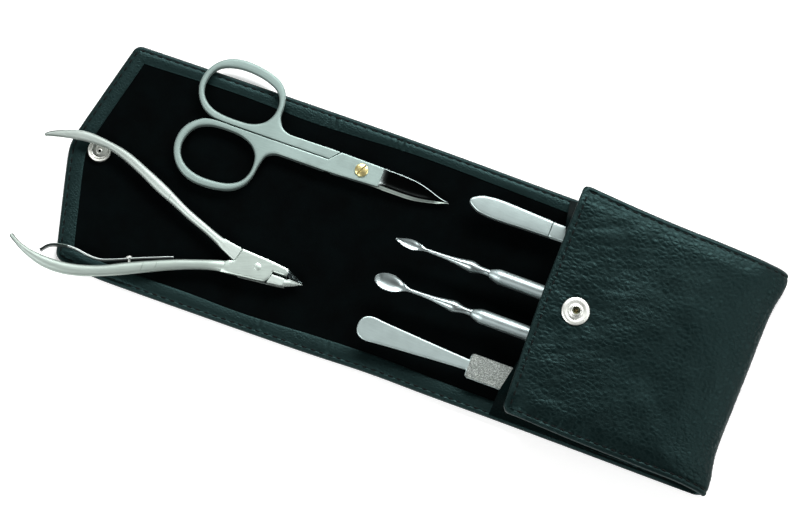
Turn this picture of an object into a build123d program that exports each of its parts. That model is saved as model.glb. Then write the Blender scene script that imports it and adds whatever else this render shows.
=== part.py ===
from build123d import *
import math
import os

# A leather manicure set case lying open and flat, with its six tools.
# Millimetres. +X runs from the closing flap to the pocket, +Y to the far long
# edge, +Z up. The origin is on the flat underside, at the middle of the open case.

# ---------------------------------------------------------------- dimensions
half_w = 39.4            # half the width of the leather strip
x_tip = -119.1           # apex of the shallow pointed flap
x_corner = -109.4        # where the flap's point begins
x_flap_end = -39.7       # crease between flap and spine
x_back_start = -16.0     # crease between spine and back
x_fold = 116.5           # where the back leather turns up into the pocket front
t_leather = 0.9          # outer leather
t_board = 0.9            # stiffening board
z_board = t_leather + t_board
z_lining = z_board + 0.5         # top of the suede lining
z_panel = 2.5            # top of the turned leather border
border = 5.75            # width of the turned border

mouth_x = 46.3           # edge of the pocket front
front_t = 0.9            # leather of the pocket front
front_lining_t = 0.6
gusset_t = 0.8
holder_x0, holder_x1 = 66.0, 86.0

snap_x, snap_y, snap_z = 57.7, 0.9, 16.75     # middle of the press stud on the pocket front
snap_tilt = 5.23                 # the pocket front slopes down towards the fold
sock_x = -108.9                  # middle of the socket on the flap
stud_flange_r, stud_r, stud_hole_r = 4.7, 1.95, 0.85
sock_r, sock_bore_r = 3.9, 2.45

tool_pitch = 2.75        # the pocketed tools slope down into the pocket
tool_x0, tool_z0 = 47.0, 5.9     # a point on the underside of the tools
tweezers_y, cleaner_y, pusher_y, file_y = 25.6, 4.7, -9.8, -26.2
handle_r = 2.45          # tube handles of cleaner and pusher

lie_z = 2.8              # underside of the scissors and nippers
sc = (-0.25, -0.7)       # the scissors' place
sc_t = 3.25              # thickness of the scissors' shanks
sc_lap = 1.6             # thickness of each half at the lap joint
sc_pivot = (-24.8, 24.2)
ni = (-0.3, -0.7)        # the nippers' place
ni_t = 4.4
ni_lap = 2.15
ni_rise = 1.45           # the slimmer handles clear the socket they cross
ni_handle_t = 2.8
ni_pivot = (-45.8, -18.2)

os.makedirs("parts", exist_ok=True)
ca, sa = math.cos(math.radians(tool_pitch)), math.sin(math.radians(tool_pitch))


def top_plane(y, h=0.0):
    """A plane along a pocketed tool, h above its underside: x along the tool, y across it."""
    return Plane(origin=(tool_x0 + h * sa, y, tool_z0 + h * ca), x_dir=(ca, 0, -sa), z_dir=(sa, 0, ca))


def side_plane(y, h=0.0):
    """A plane standing along a pocketed tool: x along the tool, y up from its underside."""
    return Plane(origin=(tool_x0 + h * sa, y, tool_z0 + h * ca), x_dir=(ca, 0, -sa), z_dir=(0, -1, 0))


def flap_outline(inset, reach):
    """The flap's outline, moved in by inset on its outer edges, open towards the spine."""
    w = half_w - inset
    slope = (x_corner - x_tip) / half_w
    norm = math.hypot(1, slope)
    tip = x_tip + inset * norm
    corner = tip + slope * w
    return [(reach, -w), (corner, -w), (tip, 0), (corner, w), (reach, w)]


# ================================================================ the case
# ---- flap: leather shell turned over its edges, board, suede
with BuildPart() as flap_leather:
    with BuildSketch(Plane.XY):
        with BuildLine():
            Polyline(*flap_outline(0, x_flap_end), close=True)
        make_face()
        fillet(vertices().filter_by(lambda v: v.X < x_corner + 1 and abs(v.Y) > 1), 1.6)
        fillet(vertices().filter_by(lambda v: v.X < x_corner and abs(v.Y) < 1), 3.0)
    extrude(amount=z_panel)
    with BuildSketch(Plane.XY.offset(t_leather)):
        with BuildLine():
            Polyline(*flap_outline(t_leather, x_flap_end + 1), close=True)
        make_face()
    extrude(amount=t_board, mode=Mode.SUBTRACT)
    with BuildSketch(Plane.XY.offset(z_board)):
        with BuildLine():
            Polyline(*flap_outline(border, x_flap_end + 1), close=True)
        make_face()
    extrude(amount=z_panel - z_board, mode=Mode.SUBTRACT)
    with Locations((sock_x, snap_y, 0)):
        Cylinder(5.4, 1.0, align=(Align.CENTER, Align.CENTER, Align.MIN), mode=Mode.SUBTRACT)
flap_leather.part.label = "flap_leather"

with BuildPart() as flap_board:
    with BuildSketch(Plane.XY.offset(t_leather)):
        with BuildLine():
            Polyline(*flap_outline(t_leather + 0.1, x_flap_end), close=True)
        make_face()
    extrude(amount=t_board)
    with Locations((sock_x, snap_y, t_leather)):
        Cylinder(2.05, 3, align=(Align.CENTER, Align.CENTER, Align.CENTER), mode=Mode.SUBTRACT)
flap_board.part.label = "flap_board"

with BuildPart() as flap_lining:
    with BuildSketch(Plane.XY.offset(z_board)):
        with BuildLine():
            Polyline(*flap_outline(border + 0.1, x_flap_end), close=True)
        make_face()
    extrude(amount=z_lining - z_board)
    with Locations((sock_x, snap_y, z_board)):
        Cylinder(2.05, 3, mode=Mode.SUBTRACT)
flap_lining.part.label = "flap_lining"

# ---- spine: soft leather between the two creases
with BuildPart() as spine_leather:
    with Locations(((x_flap_end + x_back_start) / 2, 0, 0)):
        Box(x_back_start - x_flap_end, 2 * half_w, z_panel, align=(Align.CENTER, Align.CENTER, Align.MIN))
    with Locations(((x_flap_end + x_back_start) / 2, 0, t_leather)):
        Box(x_back_start - x_flap_end + 2, 2 * (half_w - t_leather), t_board,
            align=(Align.CENTER, Align.CENTER, Align.MIN), mode=Mode.SUBTRACT)
    with Locations(((x_flap_end + x_back_start) / 2, 0, z_board)):
        Box(x_back_start - x_flap_end + 2, 2 * (half_w - border), 2,
            align=(Align.CENTER, Align.CENTER, Align.MIN), mode=Mode.SUBTRACT)
spine_leather.part.label = "spine_leather"

with BuildPart() as spine_padding:
    with Locations(((x_flap_end + x_back_start) / 2, 0, t_leather)):
        Box(x_back_start - x_flap_end, 2 * (half_w - t_leather - 0.1), t_board,
            align=(Align.CENTER, Align.CENTER, Align.MIN))
spine_padding.part.label = "spine_padding"

with BuildPart() as spine_lining:
    with Locations(((x_flap_end + x_back_start) / 2, 0, z_board)):
        Box(x_back_start - x_flap_end, 2 * (half_w - border - 0.1), z_lining - z_board,
            align=(Align.CENTER, Align.CENTER, Align.MIN))
spine_lining.part.label = "spine_lining"

# ---- back: the same strip under the tools
with BuildPart() as back_leather:
    with Locations(((x_back_start + x_fold) / 2, 0, 0)):
        Box(x_fold - x_back_start, 2 * half_w, z_panel, align=(Align.CENTER, Align.CENTER, Align.MIN))
    with Locations((x_back_start - 1, 0, t_leather)):
        Box(x_fold - x_back_start - 0.5, 2 * (half_w - t_leather), t_board,
            align=(Align.MIN, Align.CENTER, Align.MIN), mode=Mode.SUBTRACT)
    with Locations((x_back_start - 1, 0, z_board)):
        Box(x_fold - x_back_start + 2, 2 * (half_w - border), 2,
            align=(Align.MIN, Align.CENTER, Align.MIN), mode=Mode.SUBTRACT)
back_leather.part.label = "back_leather"

with BuildPart() as back_board:
    with Locations((x_back_start, 0, t_leather)):
        Box(x_fold - x_back_start - 1.7, 2 * (half_w - t_leather - 0.1), t_board,
            align=(Align.MIN, Align.CENTER, Align.MIN))
back_board.part.label = "back_board"

with BuildPart() as back_lining:
    with Locations((x_back_start, 0, z_board)):
        Box(x_fold - x_back_start - 0.2, 2 * (half_w - border - 0.1), z_lining - z_board,
            align=(Align.MIN, Align.CENTER, Align.MIN))
back_lining.part.label = "back_lining"

# ---- pocket front: outer skin as a curve from the mouth to the bottom fold
tilt = math.radians(snap_tilt)
mouth_z = snap_z + (snap_x - mouth_x) * math.tan(tilt)
outer = [(mouth_x, mouth_z), (snap_x - 5.2, snap_z + 5.2 * math.tan(tilt)), (snap_x, snap_z),
         (snap_x + 5.2, snap_z - 5.2 * math.tan(tilt)),
         (78.0, 14.6), (92.0, 12.7), (103.0, 10.2), (111.0, 7.3), (116.0, 4.6), (118.6, 2.2)]


def inset_curve(points, d):
    """Points moved d to the inside of the pocket, square to the curve."""
    out = []
    for i, (px, pz) in enumerate(points):
        a, b = points[max(i - 1, 0)], points[min(i + 1, len(points) - 1)]
        dx, dz = b[0] - a[0], b[1] - a[1]
        n = math.hypot(dx, dz)
        out.append((px + dz / n * d, pz - dx / n * d))
    return out


inner = inset_curve(outer, front_t)
lin_outer = inset_curve(outer, front_t + 0.1)
lin_inner = inset_curve(outer, front_t + 0.1 + front_lining_t)
side = Plane(origin=(0, 0, 0), x_dir=(1, 0, 0), z_dir=(0, -1, 0))
snap_plane = Plane(origin=(snap_x, snap_y, snap_z), x_dir=(math.cos(tilt), 0, -math.sin(tilt)),
                   z_dir=(math.sin(tilt), 0, math.cos(tilt)))

with BuildPart() as pocket_front_leather:
    with BuildSketch(side):
        with BuildLine():
            Spline(*outer)
            Polyline(outer[-1], (118.9, 1.4), (118.6, 0.6), (117.8, 0.12), (x_fold, 0.0))
            Line((x_fold, 0.0), (x_fold, t_leather))
            Line((x_fold, t_leather), inner[-1])
            Spline(*inner[::-1])
            Line(inner[0], outer[0])
        make_face()
    extrude(amount=half_w - 0.2, both=True)
    with Locations(snap_plane):
        Cylinder(1.3, 6, mode=Mode.SUBTRACT)
pocket_front_leather.part.label = "pocket_front_leather"

with BuildPart() as pocket_front_lining:
    with BuildSketch(side):
        with BuildLine():
            Spline(*lin_outer[:-1])
            Line(lin_outer[-2], lin_inner[-2])
            Spline(*lin_inner[:-1][::-1])
            Line(lin_inner[0], lin_outer[0])
        make_face()
    extrude(amount=half_w - 3.3, both=True)
    with Locations(snap_plane):
        Cylinder(1.3, 6, mode=Mode.SUBTRACT)
pocket_front_lining.part.label = "pocket_front_lining"


# ---- gussets: thin leather folded inwards between back and pocket front
def front_inside(x):
    """Height of the inner face of the pocket front at x, a little low."""
    pts = inner
    for (xa, za), (xb, zb) in zip(pts, pts[1:]):
        if xa <= x <= xb:
            return za + (zb - za) * (x - xa) / (xb - xa) - 0.25
    return pts[0][1] - 0.25


# per station: x, then (y, height) of the bend in the lower leg and of the inner crease
gusset_stations = {
    1: [(40.0, (29.9, 11.6), (22.0, 12.9)), (mouth_x, (29.9, 11.6), (22.0, 12.9)), (56.0, (30.6, 11.3), (27.0, 12.6)),
        (65.0, (33.2, 8.6), (31.4, 11.0)), (87.0, (33.6, 6.8), (31.7, 9.0)), (100.0, (34.6, 5.0), (33.2, 6.6)),
        (111.0, (36.2, 3.9), (35.2, 4.7))],
    -1: [(40.0, (31.2, 9.1), (20.2, 11.8)), (mouth_x, (31.2, 9.1), (20.2, 11.8)), (56.0, (31.4, 8.9), (24.0, 11.2)),
         (65.0, (32.6, 8.6), (27.5, 10.6)), (87.0, (33.0, 7.4), (31.7, 9.0)), (100.0, (34.6, 5.0), (33.2, 6.6)),
         (111.0, (36.2, 3.9), (35.2, 4.7))]}


def gusset_section(x, bend, crease, sign):
    """Outline across Y of the folded leather: up the outside of the middle line and back down its inside."""
    zt = front_inside(x)
    y0 = half_w - 1.3
    line = [(y0, z_panel + 0.02), bend, crease, (min(36.7, crease[0] + 14.7), zt - 1.5), (y0 + 0.1, zt)]
    w = gusset_t / 2
    # which way the outside lies from each point of the middle line
    out = [(1.0, 0.0), (0.6, 0.8), (1.0, 0.0), (0.2, -1.0), (1.0, 0.0)]
    one = [(y + oy * w, z + oz * w) for (y, z), (oy, oz) in zip(line, out)]
    two = [(y - oy * w, z - oz * w) for (y, z), (oy, oz) in zip(line, out)]
    return [(sign * y, z) for y, z in one + two[::-1]]


def make_gusset(sign):
    with BuildPart() as gusset:
        for x, bend, crease in gusset_stations[sign]:
            with BuildSketch(Plane(origin=(x, 0, 0), x_dir=(0, 1, 0), z_dir=(1, 0, 0))):
                with BuildLine():
                    Polyline(*gusset_section(x, bend, crease, sign), close=True)
                make_face()
        loft(ruled=True)
        # the free front edge slants from the border up to the mouth's corner
        with BuildSketch(side):
            with BuildLine():
                Polyline((30, -1), (42.3, -1), (42.3, z_panel), (mouth_x + 0.2, mouth_z - 1.0),
                         (mouth_x + 0.2, 30), (30, 30), close=True)
            make_face()
        extrude(amount=60, both=True, mode=Mode.SUBTRACT)
    return gusset.part


gusset_far = make_gusset(1)
gusset_far.label = "gusset_far"
gusset_near = make_gusset(-1)
gusset_near.label = "gusset_near"

# ---- loop strip inside the pocket: one strip of suede stitched down between the tools
hump = [  # across Y: (middle, half width inside, ceiling)
    (file_y, 4.6, 7.0), (pusher_y, 2.8, 10.25), (cleaner_y, 2.8, 10.25), (tweezers_y, 3.9, 10.2)]
with BuildPart() as tool_loop_strip:
    with BuildSketch(Plane(origin=(holder_x0, 0, 0), x_dir=(0, 1, 0), z_dir=(1, 0, 0))):
        with Locations((0, z_lining + 0.02)):
            Rectangle(62.4, 0.8, align=(Align.CENTER, Align.MIN))
        for y, hw, top in hump:
            with Locations((y, z_lining + 0.02)):
                Rectangle(2 * hw + 1.6, top + 0.8 - z_lining - 0.02, align=(Align.CENTER, Align.MIN))
        for y, hw, top in hump:
            with Locations((y, 0)):
                Rectangle(2 * hw, top, align=(Align.CENTER, Align.MIN), mode=Mode.SUBTRACT)
    extrude(amount=holder_x1 - holder_x0)
tool_loop_strip.part.label = "tool_loop_strip"

# ---- press stud: stud and its post on the pocket front
with BuildPart() as snap_stud:
    with BuildSketch(Plane(origin=snap_plane.offset(0.06).origin, x_dir=snap_plane.x_dir, z_dir=(0, -1, 0))):
        with BuildLine():
            Polyline((stud_hole_r, 0.0), (stud_flange_r - 0.25, 0.0), (stud_flange_r, 0.25), (stud_flange_r, 0.45),
                     (stud_flange_r - 0.6, 0.75), (stud_r + 0.35, 0.55), (stud_r - 0.25, 0.8), (stud_r - 0.25, 1.35),
                     (stud_r, 1.7), (stud_r, 2.0), (stud_r - 0.4, 2.4), (stud_hole_r + 0.35, 2.45),
                     (stud_hole_r, 2.1), close=True)
        make_face()
    revolve(axis=Axis(snap_plane.origin, snap_plane.z_dir))
snap_stud.part.label = "snap_stud"

with BuildPart() as snap_stud_post:
    with BuildSketch(Plane(origin=snap_plane.origin, x_dir=snap_plane.x_dir, z_dir=(0, -1, 0))):
        with BuildLine():
            Polyline((0, 1.3), (0.8, 1.3), (0.8, -1.75), (4.2, -1.75), (4.4, -2.0), (4.0, -2.35), (0, -2.35), close=True)
        make_face()
    revolve(axis=Axis(snap_plane.origin, snap_plane.z_dir))
snap_stud_post.part.label = "snap_stud_post"

# ---- press stud: socket, ring spring and cap on the flap
with BuildPart() as snap_socket:
    with BuildSketch(Plane(origin=(sock_x, snap_y, 0), x_dir=(1, 0, 0), z_dir=(0, -1, 0))):
        with BuildLine():
            Polyline((1.2, z_lining), (sock_r - 0.3, z_lining), (sock_r, z_lining + 0.3), (sock_r, z_lining + 1.0),
                     (sock_r - 0.35, z_lining + 1.35), (sock_r - 0.75, z_lining + 1.3), (sock_r - 0.95, z_lining + 1.55),
                     (sock_bore_r + 0.2, z_lining + 1.7), (sock_bore_r, z_lining + 1.55), (sock_bore_r, z_lining + 1.1),
                     (2.75, z_lining + 1.1), (2.75, z_lining + 0.5), (sock_bore_r, z_lining + 0.5),
                     (sock_bore_r, z_lining + 0.15), (1.2, z_lining + 0.15), close=True)
        make_face()
    revolve(axis=Axis((sock_x, snap_y, 0), (0, 0, 1)))
snap_socket.part.label = "snap_socket"

with BuildPart() as snap_ring_spring:
    with BuildSketch(Plane(origin=(sock_x, snap_y, 0), x_dir=(1, 0, 0), z_dir=(0, -1, 0))):
        with Locations((2.5, z_lining + 0.8)):
            Circle(0.22)
    revolve(axis=Axis((sock_x, snap_y, 0), (0, 0, 1)), revolution_arc=330)
snap_ring_spring.part.label = "snap_ring_spring"

with BuildPart() as snap_cap:
    with BuildSketch(Plane(origin=(sock_x, snap_y, 0), x_dir=(1, 0, 0), z_dir=(0, -1, 0))):
        with BuildLine():
            Line((0, 0.0), (3.8, 0.0))
            Polyline((3.8, 0.0), (4.6, 0.12), (5.1, 0.36), (5.3, 0.65), (5.2, 0.85), (1.85, 0.85), (1.85, z_lining - 0.02), (1.15, z_lining - 0.02),
                     (1.15, 0.5), (0, 0.5), (0, 0.0))
        make_face()
    revolve(axis=Axis((sock_x, snap_y, 0), (0, 0, 1)))
snap_cap.part.label = "snap_cap"

# ================================================================ scissors
sc_plane = Plane(origin=(sc[0], sc[1], lie_z))
sc_up = Plane(origin=(sc[0], sc[1], lie_z + sc_t - sc_lap))
ring_far_outer = [(-50.0, 27.4), (-51.6, 27.55), (-54.2, 28.9), (-56.0, 32.0), (-56.3, 36.0), (-57.2, 40.0), (-59.8, 43.1),
                  (-63.6, 44.8), (-69.0, 45.9), (-74.4, 46.0), (-79.0, 44.7), (-82.5, 41.9), (-84.7, 37.8),
                  (-85.2, 33.8), (-84.0, 29.8), (-81.2, 26.4), (-77.0, 24.5), (-73.0, 24.08), (-70.0, 24.0)]
ring_far_inner = [(-83.2, 33.4), (-82.6, 37.9), (-80.2, 41.0), (-75.6, 42.7), (-70.0, 43.0), (-64.4, 42.0),
                  (-60.2, 40.0), (-58.3, 36.8), (-58.3, 32.4), (-60.4, 28.7), (-64.3, 26.6), (-69.6, 26.1),
                  (-75.1, 26.4), (-79.2, 27.7), (-82.0, 30.2)]
ring_near_outer = [(-70.0, 23.8), (-73.0, 23.82), (-76.8, 23.6), (-80.3, 22.7), (-83.6, 20.2), (-85.6, 16.8), (-86.1, 12.6),
                   (-85.0, 8.4), (-82.6, 5.1), (-79.0, 2.7), (-74.3, 1.7), (-67.7, 2.1), (-62.6, 3.7),
                   (-59.4, 6.6), (-57.9, 10.4), (-57.3, 14.6), (-56.0, 18.2), (-53.6, 19.7), (-51.5, 19.97), (-50.0, 20.0)]
ring_near_inner = [(-83.7, 12.0), (-83.1, 16.0), (-80.9, 19.5), (-77.0, 21.5), (-71.6, 22.1), (-66.2, 21.7),
                   (-61.9, 19.9), (-59.6, 16.8), (-59.2, 11.4), (-60.9, 7.6), (-64.3, 5.3), (-69.3, 4.3),
                   (-75.3, 4.4), (-79.6, 5.9), (-82.4, 8.5)]

with BuildPart() as scissors_far_half:
    with BuildSketch(sc_plane):
        with BuildLine():
            Spline(*ring_far_outer)
            Polyline((-70.0, 24.0), (-36.5, 24.3), (-33.3, 27.65), (-50.0, 27.4))
        make_face()
        with BuildLine(mode=Mode.PRIVATE) as ring_hole:
            Spline(*ring_far_inner, periodic=True)
        make_face(ring_hole.edges(), mode=Mode.SUBTRACT)
    extrude(amount=sc_t)
    # the lap plate and blade, under the other half
    with BuildSketch(sc_plane):
        with BuildLine():
            Polyline((-37.5, 24.4), (-35.9, 24.2), (-34.8, 20.4), (-26.9, 20.5), (-20.3, 20.85), (-5.4, 20.95),
                     (0.9, 22.3), (5.8, 23.85), (-6.0, 25.6), (-17.0, 26.2), (-20.0, 27.3), (-33.6, 27.5), close=True)
        make_face()
    extrude(amount=sc_lap)
    with Locations((sc_pivot[0] + sc[0], sc_pivot[1] + sc[1], lie_z)):
        Cylinder(1.30, 20, mode=Mode.SUBTRACT)
scissors_far_half.part.label = "scissors_far_half"

with BuildPart() as scissors_near_half:
    with BuildSketch(sc_plane):
        with BuildLine():
            Spline(*ring_near_outer)
            Polyline((-50.0, 20.0), (-36.4, 20.0), (-36.4, 24.05), (-70.0, 23.8))
        make_face()
        with BuildLine(mode=Mode.PRIVATE) as ring_hole:
            Spline(*ring_near_inner, periodic=True)
        make_face(ring_hole.edges(), mode=Mode.SUBTRACT)
    extrude(amount=sc_t)
    # the lap plate and blade on top
    with BuildSketch(sc_up):
        with BuildLine():
            Polyline((-37.0, 20.0), (-34.9, 20.0), (-26.9, 20.4), (-20.3, 20.75), (-17.9, 20.8), (-17.3, 21.6),
                     (-5.2, 21.8), (6.0, 23.9), (-6.3, 27.3), (-16.5, 27.35), (-33.0, 27.6), (-36.1, 24.1),
                     (-37.0, 24.05), close=True)
        make_face()
    extrude(amount=sc_lap - 0.05)
    with Locations((sc_pivot[0] + sc[0], sc_pivot[1] + sc[1], lie_z)):
        Cylinder(1.25, 20, mode=Mode.SUBTRACT)
# a hair of running clearance between the two halves
with BuildPart() as scissors_near_cut:
    add(scissors_near_half.part)
    with BuildSketch(sc_plane):
        with BuildLine():
            Polyline((-36.25, 18.0), (10, 18.0), (10, 30), (-36.25, 30), close=True)
        make_face()
    extrude(amount=sc_t - sc_lap + 0.05, mode=Mode.SUBTRACT)
scissors_near_half = scissors_near_cut
scissors_near_half.part.label = "scissors_near_half"

with BuildPart() as scissors_screw:
    with BuildSketch(Plane(origin=(sc_pivot[0] + sc[0], sc_pivot[1] + sc[1], 0), x_dir=(1, 0, 0), z_dir=(0, -1, 0))):
        with BuildLine():
            Polyline((0, lie_z + 0.1), (1.25, lie_z + 0.1), (1.25, lie_z + sc_t), (2.35, lie_z + sc_t),
                     (2.35, lie_z + sc_t + 0.35))
            ThreePointArc((2.35, lie_z + sc_t + 0.35), (1.3, lie_z + sc_t + 0.8), (0, lie_z + sc_t + 0.95))
            Line((0, lie_z + sc_t + 0.95), (0, lie_z + 0.1))
        make_face()
    revolve(axis=Axis((sc_pivot[0] + sc[0], sc_pivot[1] + sc[1], 0), (0, 0, 1)))
    with Locations(Location((sc_pivot[0] + sc[0], sc_pivot[1] + sc[1], lie_z + sc_t + 0.95), (0, 0, 65))):
        Box(6, 0.6, 1.0, mode=Mode.SUBTRACT)
scissors_screw.part.label = "scissors_screw"

# ================================================================ nippers
ni_plane = Plane(origin=(ni[0], ni[1], lie_z))
ni_up = Plane(origin=(ni[0], ni[1], lie_z + ni_t - ni_lap))
ni_handle = Plane(origin=(ni[0], ni[1], lie_z + ni_rise))
spring_screw_plane = Plane(origin=(-86.4 + ni[0], -29.95 + ni[1], lie_z + ni_rise + ni_handle_t / 2),
                           x_dir=(0, 0, 1), z_dir=(-0.432, 0.902, 0))
near_in = [(-53.8, -18.9), (-59.5, -20.5), (-65.8, -22.6), (-72.0, -24.8), (-79.9, -28.1), (-87.1, -31.4),
           (-93.7, -34.7), (-99.9, -36.9), (-106.4, -38.2), (-112.6, -38.4), (-117.7, -37.9), (-121.5, -37.0),
           (-126.6, -35.0)]
near_out = [(-126.6, -35.6), (-122.4, -38.4), (-118.2, -40.4), (-112.8, -41.9), (-106.4, -42.1), (-99.9, -40.8),
            (-92.4, -38.1), (-85.2, -34.9), (-78.0, -31.4), (-72.0, -28.6), (-64.7, -25.7), (-59.0, -24.0),
            (-53.5, -23.3)]
far_out = [(-52.4, -14.1), (-59.5, -12.8), (-66.8, -10.2), (-74.1, -7.3), (-83.5, -2.6), (-91.0, 0.6),
           (-99.1, 3.7), (-106.7, 5.1), (-113.1, 5.6), (-117.8, 5.0), (-121.5, 3.6), (-125.7, 1.6), (-127.5, 0.0)]
far_in = [(-127.5, -0.6), (-123.3, 0.6), (-118.7, 1.6), (-114.0, 2.3), (-109.3, 2.6), (-104.9, 2.3),
          (-99.5, 0.7), (-92.8, -2.1), (-86.1, -5.3), (-78.7, -8.2), (-72.9, -10.7), (-64.8, -13.7),
          (-58.5, -16.6), (-53.8, -18.7)]

with BuildPart() as nippers_near_half:
    with BuildSketch(ni_handle):
        with BuildLine():
            Spline(*near_in)
            Line(near_in[-1], near_out[0])
            Spline(*near_out)
            Line(near_out[-1], near_in[0])
        make_face()
    extrude(amount=ni_handle_t)
    # flat top plate of the joint
    with BuildSketch(ni_up):
        with BuildLine():
            Polyline((-55.5, -19.5), (-53.7, -18.8), (-52.25, -14.15), (-44.1, -14.7), (-35.8, -15.5),
                     (-35.0, -17.6), (-40.5, -17.9), (-40.5, -18.9), (-40.95, -20.6), (-42.0, -21.95), (-44.8, -22.4),
                     (-52.3, -23.2), (-55.5, -23.5), close=True)
        make_face()
    extrude(amount=ni_lap)
    # the far jaw, full height
    with BuildSketch(ni_plane):
        with BuildLine():
            Polyline((-40.35, -17.8), (-41.25, -14.87), (-35.8, -15.5), (-32.8, -16.75), (-29.9, -18.15),
                     (-34.6, -18.15), (-35.1, -17.7), close=True)
        make_face()
    extrude(amount=ni_t)
    with Locations((ni_pivot[0] + ni[0], ni_pivot[1] + ni[1], lie_z)):
        Cylinder(1.65, 20, mode=Mode.SUBTRACT)
    with Locations(spring_screw_plane):
        Cylinder(0.55, 2.6, align=(Align.CENTER, Align.CENTER, Align.MAX), mode=Mode.SUBTRACT)
nippers_near_half.part.label = "nippers_near_half"

with BuildPart() as nippers_far_half:
    with BuildSketch(ni_handle):
        with BuildLine():
            Spline(*far_out)
            Line(far_out[-1], far_in[0])
            Spline(*far_in)
            Line(far_in[-1], far_out[0])
        make_face()
    extrude(amount=ni_handle_t)
    # bottom plate of the joint
    with BuildSketch(ni_plane):
        with BuildLine():
            Polyline((-54.6, -17.6), (-53.4, -18.8), (-51.0, -23.1), (-44.8, -22.4), (-40.9, -22.0), (-40.0, -18.9),
                     (-40.9, -17.9), (-41.8, -15.1), (-44.1, -14.7), (-52.6, -14.15), (-54.6, -14.4), close=True)
        make_face()
    extrude(amount=ni_lap - 0.06)
    # the near jaw, full height
    with BuildSketch(ni_plane):
        with BuildLine():
            Polyline((-40.3, -18.95), (-41.2, -22.05), (-35.4, -21.3), (-33.0, -20.2), (-29.9, -18.35),
                     (-34.6, -18.35), (-35.2, -18.9), close=True)
        make_face()
    extrude(amount=ni_t)
    with Locations((ni_pivot[0] + ni[0], ni_pivot[1] + ni[1], lie_z)):
        Cylinder(1.6, 20, mode=Mode.SUBTRACT)
# room for the near half's plate above and its handle behind
with BuildPart() as nippers_far_cut:
    add(nippers_far_half.part)
    with BuildSketch(Plane(origin=(ni[0], ni[1], lie_z + ni_lap + 0.04))):
        with BuildLine():
            Polyline((-54.0, -19.6), (-52.5, -13.4), (-41.0, -13.4), (-41.0, -17.0), (-40.55, -18.9), (-41.45, -22.2),
                     (-45.0, -24.0), (-54.0, -24.0), close=True)
        make_face()
    extrude(amount=5, mode=Mode.SUBTRACT)
nippers_far_half = nippers_far_cut
nippers_far_half.part.label = "nippers_far_half"

with BuildPart() as nippers_rivet:
    with Locations((ni_pivot[0] + ni[0], ni_pivot[1] + ni[1], lie_z)):
        Cylinder(1.6, ni_t, align=(Align.CENTER, Align.CENTER, Align.MIN))
    chamfer(edges().filter_by(GeomType.CIRCLE), 0.15)
nippers_rivet.part.label = "nippers_rivet"

spring_pts = [(-115.3, -36.9), (-112.9, -34.2), (-108.4, -32.7), (-103.8, -32.6), (-99.5, -33.2), (-95.5, -33.2),
              (-91.0, -31.7), (-86.2, -29.6), (-79.6, -26.9), (-72.9, -24.2)]
spring_in = inset_curve(spring_pts, 0.45)
with BuildPart() as nippers_leaf_spring:
    with BuildSketch(ni_handle.offset(0.1)):
        with BuildLine():
            Spline(*spring_pts)
            Line(spring_pts[-1], spring_in[-1])
            Spline(*spring_in[::-1])
            Line(spring_in[0], spring_pts[0])
        make_face()
    extrude(amount=ni_handle_t - 0.2)
    with Locations(spring_screw_plane):
        Cylinder(0.55, 2.0, mode=Mode.SUBTRACT)
nippers_leaf_spring.part.label = "nippers_leaf_spring"

with BuildPart() as nippers_spring_screw:
    with Locations(spring_screw_plane.offset(0.32)):
        Cylinder(1.0, 0.75, align=(Align.CENTER, Align.CENTER, Align.MIN))
        Cylinder(0.5, 2.7, align=(Align.CENTER, Align.CENTER, Align.MAX))
nippers_spring_screw.part.label = "nippers_spring_screw"

# ================================================================ pocketed tools
# positions along a tool are measured from x = 47, downhill positive
# ---- tweezers: two arms welded at the closed end, tips down in the pocket
arm_t = 1.3
tw_step = -6.9           # where the arms part
tw_open = 2.3            # angle between the open arms
with BuildPart() as tweezers_lower_arm:
    with BuildSketch(top_plane(tweezers_y)):
        with BuildLine():
            Spline((tw_step, 2.7), (-16.8, 3.2), (-26.0, 3.45), (-31.0, 2.95), (-34.0, 1.6), (-35.1, 0),
                   (-34.0, -1.6), (-31.0, -2.9), (-26.0, -3.2), (-16.8, -3.0), (tw_step, -2.7),
                   tangents=[(-1, 0.05), (1, 0.05)])
            Polyline((tw_step, -2.7), (28, -2.2), (47, -1.6), (50.8, -1.3), (50.8, 1.3), (47, 1.6), (28, 2.2), (tw_step, 2.7))
        make_face()
    extrude(amount=arm_t)
    with BuildSketch(top_plane(tweezers_y, arm_t)):
        with BuildLine():
            Spline((tw_step, 2.7), (-16.8, 3.2), (-26.0, 3.45), (-31.0, 2.95), (-34.0, 1.6), (-35.1, 0),
                   (-34.0, -1.6), (-31.0, -2.9), (-26.0, -3.2), (-16.8, -3.0), (tw_step, -2.7),
                   tangents=[(-1, 0.05), (1, 0.05)])
            Line((tw_step, -2.7), (tw_step, 2.7))
        make_face()
    extrude(amount=arm_t)
tweezers_lower_arm.part.label = "tweezers_lower_arm"

to_, ts_ = math.cos(math.radians(tw_open)), math.sin(math.radians(tw_open))
with BuildPart() as tweezers_upper_arm:
    with BuildSketch(side_plane(tweezers_y)):
        with BuildLine():
            g = 0.12
            L = 57.5
            Polyline((tw_step + g, arm_t + 0.12), (tw_step + g + L * to_, arm_t + 0.12 + L * ts_),
                     (tw_step + g + L * to_ - arm_t * ts_, arm_t + 0.12 + L * ts_ + (arm_t - 0.15) * to_),
                     (tw_step + g - 0.02, arm_t + 0.12 + (arm_t - 0.15)), close=True)
        make_face()
    extrude(amount=2.6, both=True)
    with BuildSketch(top_plane(tweezers_y)):
        with BuildLine():
            Polyline((tw_step - 1, 2.6), (28, 2.15), (47, 1.6), (51.5, 1.25), (51.5, -1.25), (47, -1.6), (28, -2.15),
                     (tw_step - 1, -2.6), close=True)
        make_face()
    extrude(amount=12, mode=Mode.INTERSECT)
tweezers_upper_arm.part.label = "tweezers_upper_arm"

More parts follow.
